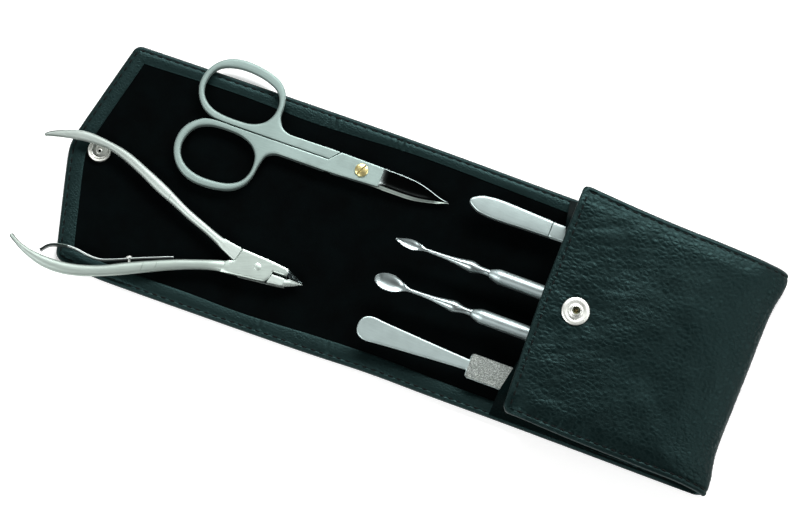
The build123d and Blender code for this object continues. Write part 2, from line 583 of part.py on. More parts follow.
# ---- nail cleaner: tube handle with a turned shaft ending in a pointed spoon
with BuildPart() as nail_cleaner_handle:
    with BuildSketch(side_plane(cleaner_y, handle_r)):
        with BuildLine():
            Polyline((-20.6, 0), (-20.6, 1.25), (-20.2, 1.35), (-18.2, 2.1), (-17.2, 2.4), (-16.4, handle_r),
                     (52.6, handle_r), (53.6, 1.9), (53.9, 0), close=True)
        make_face()
    revolve(axis=Axis(side_plane(cleaner_y, handle_r).origin, side_plane(cleaner_y, handle_r).x_dir))
    with BuildSketch(side_plane(cleaner_y, handle_r)):
        with BuildLine():
            Polyline((-21, 0), (-21, 0.9), (-12, 0.9), (-12, 0), close=True)
        make_face()
    revolve(axis=Axis(side_plane(cleaner_y, handle_r).origin, side_plane(cleaner_y, handle_r).x_dir), mode=Mode.SUBTRACT)
nail_cleaner_handle.part.label = "nail_cleaner_handle"

with BuildPart() as nail_cleaner_tip:
    with BuildSketch(side_plane(cleaner_y, handle_r)):
        with BuildLine():
            Line((-44.0, 0), (-44.0, 0.5))
            Spline((-44.0, 0.5), (-41.5, 0.6), (-37.5, 0.75), (-32.0, 1.15), (-26.8, 1.7), (-24.2, 1.35), (-20.8, 1.2))
            Polyline((-20.8, 1.2), (-20.62, 0.88), (-12.1, 0.88), (-12.1, 0), (-44.0, 0))
        make_face()
    revolve(axis=Axis(side_plane(cleaner_y, handle_r).origin, side_plane(cleaner_y, handle_r).x_dir))
    with BuildSketch(top_plane(cleaner_y, handle_r - 0.55)):
        with BuildLine():
            Spline((-42.6, 0.5), (-45.0, 1.35), (-48.0, 1.7), (-51.0, 0.95), (-53.4, 0.15))
            Line((-53.4, 0.15), (-53.4, -0.15))
            Spline((-53.4, -0.15), (-51.0, -1.0), (-48.0, -1.7), (-45.0, -1.3), (-42.6, -0.5))
            Line((-42.6, -0.5), (-42.6, 0.5))
        make_face()
    extrude(amount=1.0)
nail_cleaner_tip.part.label = "nail_cleaner_tip"

# ---- cuticle pusher: the same handle with a round spoon
with BuildPart() as cuticle_pusher_handle:
    with BuildSketch(side_plane(pusher_y, handle_r)):
        with BuildLine():
            Polyline((-21.6, 0), (-21.6, 1.25), (-21.2, 1.35), (-19.2, 2.1), (-18.2, 2.4), (-17.4, handle_r),
                     (52.6, handle_r), (53.6, 1.9), (53.9, 0), close=True)
        make_face()
    revolve(axis=Axis(side_plane(pusher_y, handle_r).origin, side_plane(pusher_y, handle_r).x_dir))
    with BuildSketch(side_plane(pusher_y, handle_r)):
        with BuildLine():
            Polyline((-22, 0), (-22, 0.9), (-13, 0.9), (-13, 0), close=True)
        make_face()
    revolve(axis=Axis(side_plane(pusher_y, handle_r).origin, side_plane(pusher_y, handle_r).x_dir), mode=Mode.SUBTRACT)
cuticle_pusher_handle.part.label = "cuticle_pusher_handle"

with BuildPart() as cuticle_pusher_tip:
    with BuildSketch(side_plane(pusher_y, handle_r)):
        with BuildLine():
            Line((-45.2, 0), (-45.2, 0.5))
            Spline((-45.2, 0.5), (-42.5, 0.6), (-38.5, 0.75), (-33.0, 1.2), (-27.8, 1.7), (-25.0, 1.35), (-21.8, 1.2))
            Polyline((-21.8, 1.2), (-21.62, 0.88), (-13.1, 0.88), (-13.1, 0), (-45.2, 0))
        make_face()
    revolve(axis=Axis(side_plane(pusher_y, handle_r).origin, side_plane(pusher_y, handle_r).x_dir))
    with BuildSketch(top_plane(pusher_y, handle_r - 0.55)):
        with BuildLine():
            Spline((-43.6, 0.5), (-46.4, 1.75), (-49.5, 2.85), (-52.5, 2.8), (-54.6, 1.7), (-55.4, 0),
                   (-54.6, -1.7), (-52.5, -2.8), (-49.5, -2.8), (-46.4, -1.7), (-43.6, -0.5))
            Line((-43.6, -0.5), (-43.6, 0.5))
        make_face()
    extrude(amount=1.0)
cuticle_pusher_tip.part.label = "cuticle_pusher_tip"

# ---- nail file: one steel strip, paddle end out, abrasive on both faces of the blade
file_t = 1.2
with BuildPart() as nail_file_strip:
    with BuildSketch(top_plane(file_y, 0.25)):
        with BuildLine():
            Polyline((-17.0, 1.6), (-49.3, 3.85))
            ThreePointArc((-49.3, 3.85), (-55.2, 0), (-49.3, -3.85))
            Polyline((-49.3, -3.85), (-17.0, -1.6), (-17.0, -3.4), (-16.2, -4.2), (58.0, -4.2), (59.5, -2.6),
                     (60.2, 0), (59.5, 2.6), (58.0, 4.2), (-16.2, 4.2), (-17.0, 3.4), (-17.0, 1.6))
        make_face()
    extrude(amount=file_t)
nail_file_strip.part.label = "nail_file_strip"

with BuildPart() as nail_file_grit:
    for h in (0.0, 0.25 + file_t):
        with BuildSketch(top_plane(file_y, h)):
            with Locations((20.5, 0)):
                RectangleRounded(74.5, 8.2, 0.9)
        extrude(amount=0.25)
nail_file_grit.part.label = "nail_file_grit"

# ================================================================ output
pieces = [
    flap_leather.part, flap_board.part, flap_lining.part,
    spine_leather.part, spine_padding.part, spine_lining.part,
    back_leather.part, back_board.part, back_lining.part,
    pocket_front_leather.part, pocket_front_lining.part, gusset_far, gusset_near, tool_loop_strip.part,
    snap_stud.part, snap_stud_post.part, snap_socket.part, snap_ring_spring.part, snap_cap.part,
    scissors_far_half.part, scissors_near_half.part, scissors_screw.part,
    nippers_near_half.part, nippers_far_half.part, nippers_rivet.part, nippers_leaf_spring.part,
    nippers_spring_screw.part,
    tweezers_lower_arm.part, tweezers_upper_arm.part,
    nail_cleaner_handle.part, nail_cleaner_tip.part,
    cuticle_pusher_handle.part, cuticle_pusher_tip.part,
    nail_file_strip.part, nail_file_grit.part,
]
for piece in pieces:
    export_step(piece, f"parts/{piece.label}.step")
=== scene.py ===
"""A leather manicure set case lying open with its six tools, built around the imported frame."""

import math

import bmesh
import bpy
import numpy as np
from mathutils import Matrix, Vector, noise
from mathutils.geometry import delaunay_2d_cdt
from mathutils.kdtree import KDTree


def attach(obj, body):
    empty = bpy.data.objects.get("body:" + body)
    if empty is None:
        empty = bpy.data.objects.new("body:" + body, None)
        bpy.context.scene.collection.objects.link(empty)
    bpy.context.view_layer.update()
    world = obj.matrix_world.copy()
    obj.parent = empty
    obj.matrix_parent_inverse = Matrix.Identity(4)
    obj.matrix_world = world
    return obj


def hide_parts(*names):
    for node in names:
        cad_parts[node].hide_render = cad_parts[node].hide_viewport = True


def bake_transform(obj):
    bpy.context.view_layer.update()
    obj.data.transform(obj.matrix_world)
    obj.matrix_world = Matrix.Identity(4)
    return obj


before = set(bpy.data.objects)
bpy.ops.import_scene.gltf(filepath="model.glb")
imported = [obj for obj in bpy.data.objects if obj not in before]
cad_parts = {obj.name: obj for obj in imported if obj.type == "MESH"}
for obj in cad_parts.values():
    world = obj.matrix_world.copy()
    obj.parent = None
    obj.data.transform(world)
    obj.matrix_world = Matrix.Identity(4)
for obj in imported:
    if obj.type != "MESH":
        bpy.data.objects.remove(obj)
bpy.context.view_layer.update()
bpy.context.scene.view_settings.view_transform = "Standard"
rng = np.random.default_rng(11)

# ================================================================ helpers
# Everything below is worked out in millimetres and scaled once, in mesh().


def smooth(t, a=0.0, b=1.0):
    t = np.clip((np.asarray(t, float) - a) / (b - a), 0, 1)
    return t * t * (3 - 2 * t)


def lerp_at(x, table):
    """Smooth interpolation in a table of (x, value) with rising x."""
    xs, vs = np.array(table, float).T
    x = np.asarray(x, float)
    xc = np.clip(x, xs[0], xs[-1])
    i = np.clip(np.searchsorted(xs, xc, side="right") - 1, 0, len(xs) - 2)
    m = np.gradient(vs, xs)
    h = xs[i + 1] - xs[i]
    t = (xc - xs[i]) / h
    return ((2 * t**3 - 3 * t**2 + 1) * vs[i] + (t**3 - 2 * t**2 + t) * h * m[i]
            + (-2 * t**3 + 3 * t**2) * vs[i + 1] + (t**3 - t**2) * h * m[i + 1])


def curve(points, ds=0.5, closed=False):
    """A smooth curve through points (centripetal Catmull-Rom), about ds between samples."""
    p = np.array(points, float)
    n = len(p)
    out = []
    for i in range(n if closed else n - 1):
        p1, p2 = p[i], p[(i + 1) % n]
        p0 = p[(i - 1) % n] if closed or i > 0 else 2 * p1 - p2
        p3 = p[(i + 2) % n] if closed or i + 2 < n else 2 * p2 - p1
        t0 = 0.0
        t1 = t0 + max(np.linalg.norm(p1 - p0), 1e-6) ** 0.5
        t2 = t1 + max(np.linalg.norm(p2 - p1), 1e-6) ** 0.5
        t3 = t2 + max(np.linalg.norm(p3 - p2), 1e-6) ** 0.5
        k = max(1, int(round(np.linalg.norm(p2 - p1) / ds)))
        t = np.linspace(t1, t2, k, endpoint=False)[:, None]
        a1 = (t1 - t) / (t1 - t0) * p0 + (t - t0) / (t1 - t0) * p1
        a2 = (t2 - t) / (t2 - t1) * p1 + (t - t1) / (t2 - t1) * p2
        a3 = (t3 - t) / (t3 - t2) * p2 + (t - t2) / (t3 - t2) * p3
        b1 = (t2 - t) / (t2 - t0) * a1 + (t - t0) / (t2 - t0) * a2
        b2 = (t3 - t) / (t3 - t1) * a2 + (t - t1) / (t3 - t1) * a3
        out.append((t2 - t) / (t2 - t1) * b1 + (t - t1) / (t2 - t1) * b2)
    out = np.vstack(out)
    return out if closed else np.vstack([out, p[-1]])


def dense(points, ds=0.6):
    """The same closed polygon with its long sides divided, and no doubled points."""
    p = np.array(points, float)
    keep = [0]
    for i in range(1, len(p)):
        if np.linalg.norm(p[i] - p[keep[-1]]) > 0.04:
            keep.append(i)
    if np.linalg.norm(p[keep[-1]] - p[0]) <= 0.04:
        keep.pop()
    p = p[keep]
    out = []
    for a, b in zip(p, np.roll(p, -1, axis=0)):
        k = max(1, int(math.ceil(np.linalg.norm(b - a) / ds)))
        out.append(a + (b - a) * (np.arange(k) / k)[:, None])
    return np.vstack(out)


def distance(q, loops):
    """Distance of the points q to the closed loops, negative outside."""
    best = np.full(len(q), 1e9)
    inside = np.zeros(len(q), bool)
    for loop in loops:
        a, b = loop, np.roll(loop, -1, axis=0)
        for lo in range(0, len(a), 400):
            aa, bb = a[lo:lo + 400], b[lo:lo + 400]
            ab = bb - aa
            t = np.clip(((q[:, None] - aa) * ab).sum(2) / np.maximum((ab * ab).sum(1), 1e-12), 0, 1)
            d = np.linalg.norm(q[:, None] - aa - t[:, :, None] * ab, axis=2).min(1)
            best = np.minimum(best, d)
            cross = ((aa[:, 1] > q[:, None, 1]) != (bb[:, 1] > q[:, None, 1]))
            dy = np.where(np.abs(ab[:, 1]) < 1e-12, 1e-12, ab[:, 1])
            xi = aa[:, 0] + (q[:, None, 1] - aa[:, 1]) / dy * ab[:, 0]
            inside ^= (np.logical_and(cross, q[:, None, 0] < xi).sum(1) % 2).astype(bool)
    return np.where(inside, best, -best)


def mesh(name, verts, faces, mats, body=None, slot=None, face_mat=None, sharp=38, nodes=(), weld=0.0):
    """A mesh object from millimetres, smooth-shaded with edges sharper than `sharp` degrees kept."""
    me = bpy.data.meshes.new(name)
    me.from_pydata((np.asarray(verts, float) * 0.001).tolist(), [], [[int(k) for k in f] for f in faces])
    for m in mats if isinstance(mats, (list, tuple)) else [mats]:
        me.materials.append(m)
    if face_mat is not None:
        me.polygons.foreach_set("material_index", np.asarray(face_mat, np.int32))
    bm = bmesh.new()
    bm.from_mesh(me)
    if weld:
        bmesh.ops.remove_doubles(bm, verts=bm.verts, dist=weld * 0.001)
    bmesh.ops.dissolve_degenerate(bm, edges=bm.edges, dist=1e-7)
    bmesh.ops.recalc_face_normals(bm, faces=bm.faces)
    bm.to_mesh(me)
    bm.free()
    me.polygons.foreach_set("use_smooth", np.ones(len(me.polygons), bool))
    me.set_sharp_from_angle(angle=math.radians(sharp))
    me.update()
    ob = bpy.data.objects.new(name, me)
    bpy.context.scene.collection.objects.link(ob)
    if body:
        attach(ob, body)
    if nodes:
        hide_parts(*nodes)
    return ob


def join(parts):
    """Several (verts, faces) as one."""
    vs, fs, n = [], [], 0
    for v, f in parts:
        vs.append(np.asarray(v, float))
        fs += [[int(k) + n for k in face] for face in f]
        n += len(v)
    return np.vstack(vs), fs


def grid_faces(ni, nj, base=0):
    idx = base + np.arange(ni * nj).reshape(ni, nj)
    return np.stack([idx[:-1, :-1], idx[1:, :-1], idx[1:, 1:], idx[:-1, 1:]], -1).reshape(-1, 4)


def shell(top, bot):
    """A closed solid between two grids of points. Faces come out as top, bottom, then the walls."""
    ni, nj = top.shape[:2]
    n = ni * nj
    t = np.arange(n).reshape(ni, nj)
    b = t + n
    ft = grid_faces(ni, nj)
    fb = grid_faces(ni, nj, n)[:, ::-1]
    walls = []
    for tt, bb in ((t[:, 0], b[:, 0]), (t[::-1, -1], b[::-1, -1]), (t[-1, :], b[-1, :]), (t[0, ::-1], b[0, ::-1])):
        walls.append(np.stack([bb[:-1], bb[1:], tt[1:], tt[:-1]], -1))
    faces = np.vstack([ft, fb] + walls)
    return np.vstack([top.reshape(-1, 3), bot.reshape(-1, 3)]), faces


def lathe(profile, seg=48):
    """Turned about its own z axis: profile is (radius, height) from bottom to top."""
    p = np.array(profile, float)
    a = np.linspace(0, 2 * math.pi, seg, endpoint=False)
    v = np.stack([p[:, None, 0] * np.cos(a), p[:, None, 0] * np.sin(a), np.repeat(p[:, None, 1], seg, 1)], -1)
    n = len(p)
    faces = []
    idx = np.arange(n * seg).reshape(n, seg)
    nxt = np.roll(idx, -1, axis=1)
    faces = np.stack([idx[:-1], nxt[:-1], nxt[1:], idx[1:]], -1).reshape(-1, 4)
    return v.reshape(-1, 3), faces


def placed(v, origin, x, y, z):
    m = np.array([x, y, z], float)
    return np.asarray(v) @ m + np.array(origin, float)


def drop(d, r, h):
    """How far a rounded edge lies below the flat top at distance d from the outline."""
    t = 1 - np.clip(d / r, 0, 1)
    return h * (1 - np.sqrt(np.clip(1 - t * t, 0, 1)))


def plate(loops, top, bot, features=(), ds=0.6, rims=(0.06, 0.22, 0.5, 0.85, 1.25), grid=1.6):
    """A flat piece with shaped faces: top(x, y, d) and bot(x, y, d) give its heights at distance d from the outline.
    features are lines along which a face steps. Returns verts, faces and each face's middle."""
    loops = [dense(l, ds) for l in loops]
    pts, edges = [], []
    n = 0
    for l in loops:
        pts.append(l)
        edges += [(n + i, n + (i + 1) % len(l)) for i in range(len(l))]
        n += len(l)
    taken = {}

    def free(p, gap):
        key = (int(math.floor(p[0] / 0.5)), int(math.floor(p[1] / 0.5)))
        for i in range(key[0] - 1, key[0] + 2):
            for j in range(key[1] - 1, key[1] + 2):
                for q in taken.get((i, j), ()):
                    if (q[0] - p[0]) ** 2 + (q[1] - p[1]) ** 2 < gap * gap:
                        return False
        taken.setdefault(key, []).append(p)
        return True

    for line in features:
        line = np.array(line, float)
        run = dense(np.vstack([line, line[::-1]]), 0.5)
        run = run[: len(run) // 2 + 1]
        tangent = np.gradient(run, axis=0)
        tangent /= np.linalg.norm(tangent, axis=1)[:, None]
        side = np.stack([-tangent[:, 1], tangent[:, 0]], 1)
        for s in (-0.02, 0.02):
            q = run + side * s
            ok = distance(q, loops) > 0.02
            last = None
            for p, good in zip(q, ok):
                if good:
                    taken.setdefault((int(math.floor(p[0] / 0.5)), int(math.floor(p[1] / 0.5))), []).append(p)
                    pts.append(p[None])
                    if last is not None:
                        edges.append((last, n))
                    last = n
                    n += 1
                else:
                    last = None
    for rim in rims:
        for l in loops:
            tangent = np.roll(l, -1, axis=0) - np.roll(l, 1, axis=0)
            tangent /= np.maximum(np.linalg.norm(tangent, axis=1), 1e-9)[:, None]
            side = np.stack([-tangent[:, 1], tangent[:, 0]], 1)
            for s in (-1, 1):
                q = l + side * s * rim
                good = distance(q, loops) > 0.94 * rim
                for p, g in zip(q, good):
                    if g and free(p, max(0.05, 0.55 * min(rim, ds))):
                        pts.append(p[None])
                        n += 1
    lo, hi = loops[0].min(0), loops[0].max(0)
    gx, gy = np.meshgrid(np.arange(lo[0], hi[0], grid), np.arange(lo[1], hi[1], grid))
    g = np.stack([gx.ravel(), gy.ravel()], 1)
    g = g[distance(g, loops) > rims[-1] + 0.3 * grid]
    for p in g:
        if free(p, 0.3):
            pts.append(p[None])
            n += 1
    pts = np.vstack(pts)
    out = delaunay_2d_cdt([Vector(p) for p in pts], edges, [], 0, 1e-5)
    v2 = np.array([list(p) for p in out[0]], float)
    tri = np.array([f for f in out[2]], int)
    mid = v2[tri].mean(1)
    tri = tri[distance(mid, loops) > 0]
    used = np.unique(tri)
    remap = np.full(len(v2), -1)
    remap[used] = np.arange(len(used))
    v2, tri = v2[used], remap[tri]
    d = np.maximum(distance(v2, loops), 0)
    x, y = v2.T
    zt, zb = top(x, y, d), bot(x, y, d)
    zb = np.minimum(zb, zt - 0.002)
    m = len(v2)
    verts = np.vstack([np.column_stack([v2, zt]), np.column_stack([v2, zb])])
    faces = [list(t) for t in tri] + [[a + m, c + m, b + m] for a, b, c in tri]
    count = {}
    for a, b, c in tri:
        for e in ((a, b), (b, c), (c, a)):
            count[e] = count.get(e, 0) + 1
    for a, b in list(count):
        if (b, a) not in count:
            faces.append([a, a + m, b + m, b])
    mids = np.array([verts[f].mean(0) for f in faces])
    return verts, faces, mids


def side_of(x, y, a, b):
    """Positive to the left of the line from a to b."""
    return (b[0] - a[0]) * (np.asarray(y) - a[1]) - (b[1] - a[1]) * (np.asarray(x) - a[0])


def wobble(x, y, size, seed=0.0):
    """Soft noise, -1 to 1, for arrays."""
    x, y = np.broadcast_arrays(np.asarray(x, float), np.asarray(y, float))
    out = np.empty(x.size)
    for i, (a, b) in enumerate(zip(x.ravel() / size, y.ravel() / size)):
        out[i] = noise.noise((a, b, seed))
    return out.reshape(x.shape)


# ================================================================ materials
def material(name, colour, rough, metal=0.0, **kw):
    m = bpy.data.materials.new(name)
    m.use_nodes = True
    nt = m.node_tree
    b = nt.nodes["Principled BSDF"]
    b.inputs["Base Color"].default_value = (*colour, 1)
    b.inputs["Roughness"].default_value = rough
    b.inputs["Metallic"].default_value = metal
    for k, v in kw.items():
        b.inputs[k.replace("_", " ")].default_value = v
    return m, nt, b


def node(nt, kind, **values):
    n = nt.nodes.new(kind)
    for k, v in values.items():
        if hasattr(n, k):
            setattr(n, k, v)
        else:
            n.inputs[k].default_value = v
    return n


def coords(nt, scale=(1, 1, 1), rot=(0, 0, 0)):
    tc = nt.nodes.new("ShaderNodeTexCoord")
    mp = nt.nodes.new("ShaderNodeMapping")
    mp.inputs["Scale"].default_value = scale
    mp.inputs["Rotation"].default_value = rot
    nt.links.new(tc.outputs["Object"], mp.inputs["Vector"])
    return mp.outputs["Vector"]


def ramp(nt, src, stops):
    r = nt.nodes.new("ShaderNodeValToRGB")
    el = r.color_ramp.elements
    while len(el) < len(stops):
        el.new(0.5)
    for e, (p, c) in zip(el, stops):
        e.position = p
        e.color = (*c, 1) if len(c) == 3 else c
    nt.links.new(src, r.inputs["Fac"])
    return r.outputs["Color"]


def bump(nt, height, strength, dist, normal=None):
    b = nt.nodes.new("ShaderNodeBump")
    b.inputs["Strength"].default_value = strength
    b.inputs["Distance"].default_value = dist
    nt.links.new(height, b.inputs["Height"])
    if normal is not None:
        nt.links.new(normal, b.inputs["Normal"])
    return b.outputs["Normal"]


def math_node(nt, op, a, b=None, value=None):
    n = nt.nodes.new("ShaderNodeMath")
    n.operation = op
    nt.links.new(a, n.inputs[0])
    if b is not None:
        nt.links.new(b, n.inputs[1])
    elif value is not None:
        n.inputs[1].default_value = value
    return n.outputs[0]


def leather(name, depth, scale, colour=(0.0008, 0.0031, 0.0032), shine=0.24, rough=(0.42, 0.23), cells_at=(1, 1, 1), pulled=False, domed=False):
    """Pebbled cowhide: domed cells with creases between them, painted shade in the creases, fine pores, a little shine
    on the high spots.
    """
    m, nt, b = material(name, colour, 0.36, Specular_IOR_Level=shine)
    b.inputs["Specular Tint"].default_value = (0.50, 1.0, 0.99, 1)
    co = coords(nt, cells_at, (0, 0, 0.35))
    warp = node(nt, "ShaderNodeTexNoise", Scale=240.0, Detail=2.0)
    nt.links.new(co, warp.inputs["Vector"])
    mix = nt.nodes.new("ShaderNodeMix")
    mix.data_type = "VECTOR"
    mix.inputs["Factor"].default_value = 0.0012
    nt.links.new(co, mix.inputs[4])
    nt.links.new(warp.outputs["Color"], mix.inputs[5])
    warped = mix.outputs[1]
    cell = node(nt, "ShaderNodeTexVoronoi", feature="DISTANCE_TO_EDGE", Scale=scale, Randomness=0.9)
    nt.links.new(warped, cell.inputs["Vector"])
    cells = ramp(nt, cell.outputs["Distance"], [(0.0, (0, 0, 0)), (0.10, (0.22,) * 3), (0.24, (0.66,) * 3), (0.50, (1, 1, 1))])
    cells.node.color_ramp.interpolation = "B_SPLINE"
    if domed:
        # fuller pebbles, rounded right across
        dome = node(nt, "ShaderNodeTexVoronoi", feature="F1", Scale=scale, Randomness=0.9)
        nt.links.new(warped, dome.inputs["Vector"])
        up_high = ramp(nt, dome.outputs["Distance"], [(0.0, (1, 1, 1)), (0.22, (0.90,) * 3), (0.45, (0.58,) * 3), (0.75, (0.05,) * 3)])
        up_high.node.color_ramp.interpolation = "B_SPLINE"
        body_ = math_node(nt, "MULTIPLY", up_high, value=0.62)
        valley = math_node(nt, "MULTIPLY", cells, value=0.38)
        grain_h = math_node(nt, "ADD", body_, valley)
    else:
        grain_h = cells
    small = node(nt, "ShaderNodeTexVoronoi", feature="DISTANCE_TO_EDGE", Scale=scale * 2.9, Randomness=1.0)
    nt.links.new(warped, small.inputs["Vector"])
    smalls = ramp(nt, small.outputs["Distance"], [(0.0, (0, 0, 0)), (0.25, (1, 1, 1))])
    pores = node(nt, "ShaderNodeTexNoise", Scale=5200.0, Detail=4.0, Roughness=0.6)
    nt.links.new(coords(nt), pores.inputs["Vector"])
    # how deep the grain is differs from place to place
    patch = node(nt, "ShaderNodeTexNoise", Scale=45.0, Detail=2.0)
    nt.links.new(coords(nt), patch.inputs["Vector"])
    much = ramp(nt, patch.outputs["Fac"], [(0.34, (0.35,) * 3), (0.62, (1, 1, 1))])
    if pulled:
        # the grain opens up towards the mouth, the seams and the fold, and is drawn flat between them
        sep = nt.nodes.new("ShaderNodeSeparateXYZ")
        nt.links.new(coords(nt, (12.5, 12.5, 12.5)), sep.inputs[0])
        along = ramp(nt, math_node(nt, "ADD", sep.outputs["X"], value=-0.5), [(0.06, (0.80,) * 3), (0.30, (0.55,) * 3), (0.48, (0.34,) * 3), (0.76, (0.36,) * 3), (0.90, (1, 1, 1))])
        across = ramp(nt, math_node(nt, "ADD", sep.outputs["Y"], value=0.5), [(0.02, (0.8,) * 3), (0.10, (0.0,) * 3), (0.78, (0.0,) * 3), (0.92, (1, 1, 1))])
        much = math_node(nt, "MULTIPLY", much, math_node(nt, "MAXIMUM", along, across))
    deep = math_node(nt, "MULTIPLY", grain_h, much)
    n1 = bump(nt, deep, 1.0, depth)
    n2 = bump(nt, smalls, 0.4, depth * 0.12, n1)
    n3 = bump(nt, pores.outputs["Fac"], 0.2, 0.00002, n2)
    nt.links.new(n3, b.inputs["Normal"])
    big = node(nt, "ShaderNodeTexNoise", Scale=60.0, Detail=5.0, Roughness=0.6)
    nt.links.new(co, big.inputs["Vector"])
    tone = ramp(nt, big.outputs["Fac"], [(0.3, tuple(c * 0.75 for c in colour)), (0.7, tuple(c * 1.4 for c in colour))])
    # painted shade: the base colour is multiplied darker in the creases between the pebbles
    crease = nt.nodes.new("ShaderNodeMix")
    crease.data_type = "RGBA"
    crease.blend_type = "MULTIPLY"
    crease.inputs["Factor"].default_value = 0.7
    nt.links.new(tone, crease.inputs[6])
    nt.links.new(cells, crease.inputs[7])
    nt.links.new(crease.outputs[2], b.inputs["Base Color"])
    rg = ramp(nt, cells, [(0.0, (rough[0],) * 3), (1.0, (rough[1],) * 3)])
    rn = node(nt, "ShaderNodeTexNoise", Scale=180.0, Detail=4.0)
    nt.links.new(co, rn.inputs["Vector"])
    add = math_node(nt, "MULTIPLY_ADD", rn.outputs["Fac"], value=0.10)
    nt.links.new(rg, add.node.inputs[2])
    nt.links.new(add, b.inputs["Roughness"])
    return m


def suede(name, colour=(0.0003, 0.0009, 0.0010)):
    m, nt, b = material(name, colour, 0.95, Specular_IOR_Level=0.03, Sheen_Weight=0.004, Sheen_Roughness=0.6)
    co = coords(nt)
    nap = node(nt, "ShaderNodeTexNoise", Scale=3600.0, Detail=5.0, Roughness=0.7)
    nt.links.new(co, nap.inputs["Vector"])
    cloud = node(nt, "ShaderNodeTexNoise", Scale=90.0, Detail=6.0, Roughness=0.65)
    nt.links.new(co, cloud.inputs["Vector"])
    tone = ramp(nt, cloud.outputs["Fac"], [(0.35, tuple(c * 0.65 for c in colour)), (0.65, tuple(c * 1.6 for c in colour))])
    nt.links.new(tone, b.inputs["Base Color"])
    n1 = bump(nt, nap.outputs["Fac"], 0.8, 0.00012)
    n2 = bump(nt, cloud.outputs["Fac"], 0.3, 0.0006, n1)
    nt.links.new(n2, b.inputs["Normal"])
    return m


def steel(name, colour, rough, scratch=0.25, stretch=(260, 2600, 900), turn=0.0, depth=0.000012, cloud=0.10, shade_fade=None, detail=5.0):
    """Stainless steel: fine lines of the grinding, and a few faint smudges in its gloss.
    The last argument, (x from, x to, colour factor, roughness), darkens its colour towards a lower x as painted shade
    and makes it duller there."""
    m, nt, b = material(name, colour, rough, 1.0)
    co = coords(nt, (1, 1, 1), (0, 0, turn))
    long_way = nt.nodes.new("ShaderNodeMapping")
    long_way.inputs["Scale"].default_value = stretch
    nt.links.new(co, long_way.inputs["Vector"])
    co = long_way.outputs["Vector"]
    lines = node(nt, "ShaderNodeTexNoise", Scale=1.0, Detail=detail, Roughness=0.7)
    nt.links.new(co, lines.inputs["Vector"])
    smudge = node(nt, "ShaderNodeTexNoise", Scale=240.0, Detail=4.0, Roughness=0.55)
    nt.links.new(coords(nt), smudge.inputs["Vector"])
    r = ramp(nt, smudge.outputs["Fac"], [(0.3, (rough * (1 - cloud),) * 3), (0.7, (min(1, rough * (1 + cloud)),) * 3)])
    tint = ramp(nt, lines.outputs["Fac"], [(0.3, tuple(c * 0.93 for c in colour)), (0.7, tuple(min(1, c * 1.05) for c in colour))])
    # painted shade: the colour is multiplied darker towards a lower x; the roughness rises there too
    if shade_fade:
        x0, x1, factor, dull = shade_fade
        sep = nt.nodes.new("ShaderNodeSeparateXYZ")
        nt.links.new(coords(nt), sep.inputs[0])
        mr = nt.nodes.new("ShaderNodeMapRange")
        mr.inputs["From Min"].default_value = x0
        mr.inputs["From Max"].default_value = x1
        nt.links.new(sep.outputs["X"], mr.inputs["Value"])
        dark = nt.nodes.new("ShaderNodeMix")
        dark.data_type = "RGBA"
        dark.blend_type = "MULTIPLY"
        nt.links.new(mr.outputs["Result"], dark.inputs["Factor"])
        nt.links.new(tint, dark.inputs[6])
        dark.inputs[7].default_value = (factor, factor, factor, 1)
        tint = dark.outputs[2]
        rm = nt.nodes.new("ShaderNodeMix")
        nt.links.new(mr.outputs["Result"], rm.inputs["Factor"])
        nt.links.new(r, rm.inputs[2])
        rm.inputs[3].default_value = dull
        r = rm.outputs[0]
    nt.links.new(r, b.inputs["Roughness"])
    nt.links.new(tint, b.inputs["Base Color"])
    nt.links.new(bump(nt, lines.outputs["Fac"], scratch, depth), b.inputs["Normal"])
    return m


def grit_material(name):
    m, nt, b = material(name, (0.3, 0.29, 0.27), 0.55, 0.35)
    co = coords(nt)
    cell = node(nt, "ShaderNodeTexVoronoi", Scale=3300.0, Randomness=1.0)
    nt.links.new(co, cell.inputs["Vector"])
    grain = node(nt, "ShaderNodeTexNoise", Scale=2600.0, Detail=4.0, Roughness=0.7)
    nt.links.new(co, grain.inputs["Vector"])
    tone = ramp(nt, grain.outputs["Fac"], [(0.32, (0.05, 0.060, 0.055)), (0.5, (0.19, 0.215, 0.20)), (0.68, (0.52, 0.56, 0.53))])
    nt.links.new(tone, b.inputs["Base Color"])
    nt.links.new(bump(nt, cell.outputs["Distance"], 1.0, 0.00016), b.inputs["Normal"])
    return m


def thread_material(name):
    m, nt, b = material(name, (0.002, 0.003, 0.003), 0.6, Specular_IOR_Level=0.12)
    co = coords(nt, (1, 1, 1), (0.3, 0.2, 0.6))
    w = node(nt, "ShaderNodeTexWave", Scale=1500.0, Distortion=1.0)
    nt.links.new(co, w.inputs["Vector"])
    nt.links.new(bump(nt, w.outputs["Fac"], 0.6, 0.00005), b.inputs["Normal"])
    tone = ramp(nt, w.outputs["Fac"], [(0.0, (0.0006, 0.001, 0.001)), (1.0, (0.002, 0.004, 0.004))])
    nt.links.new(tone, b.inputs["Base Color"])
    return m


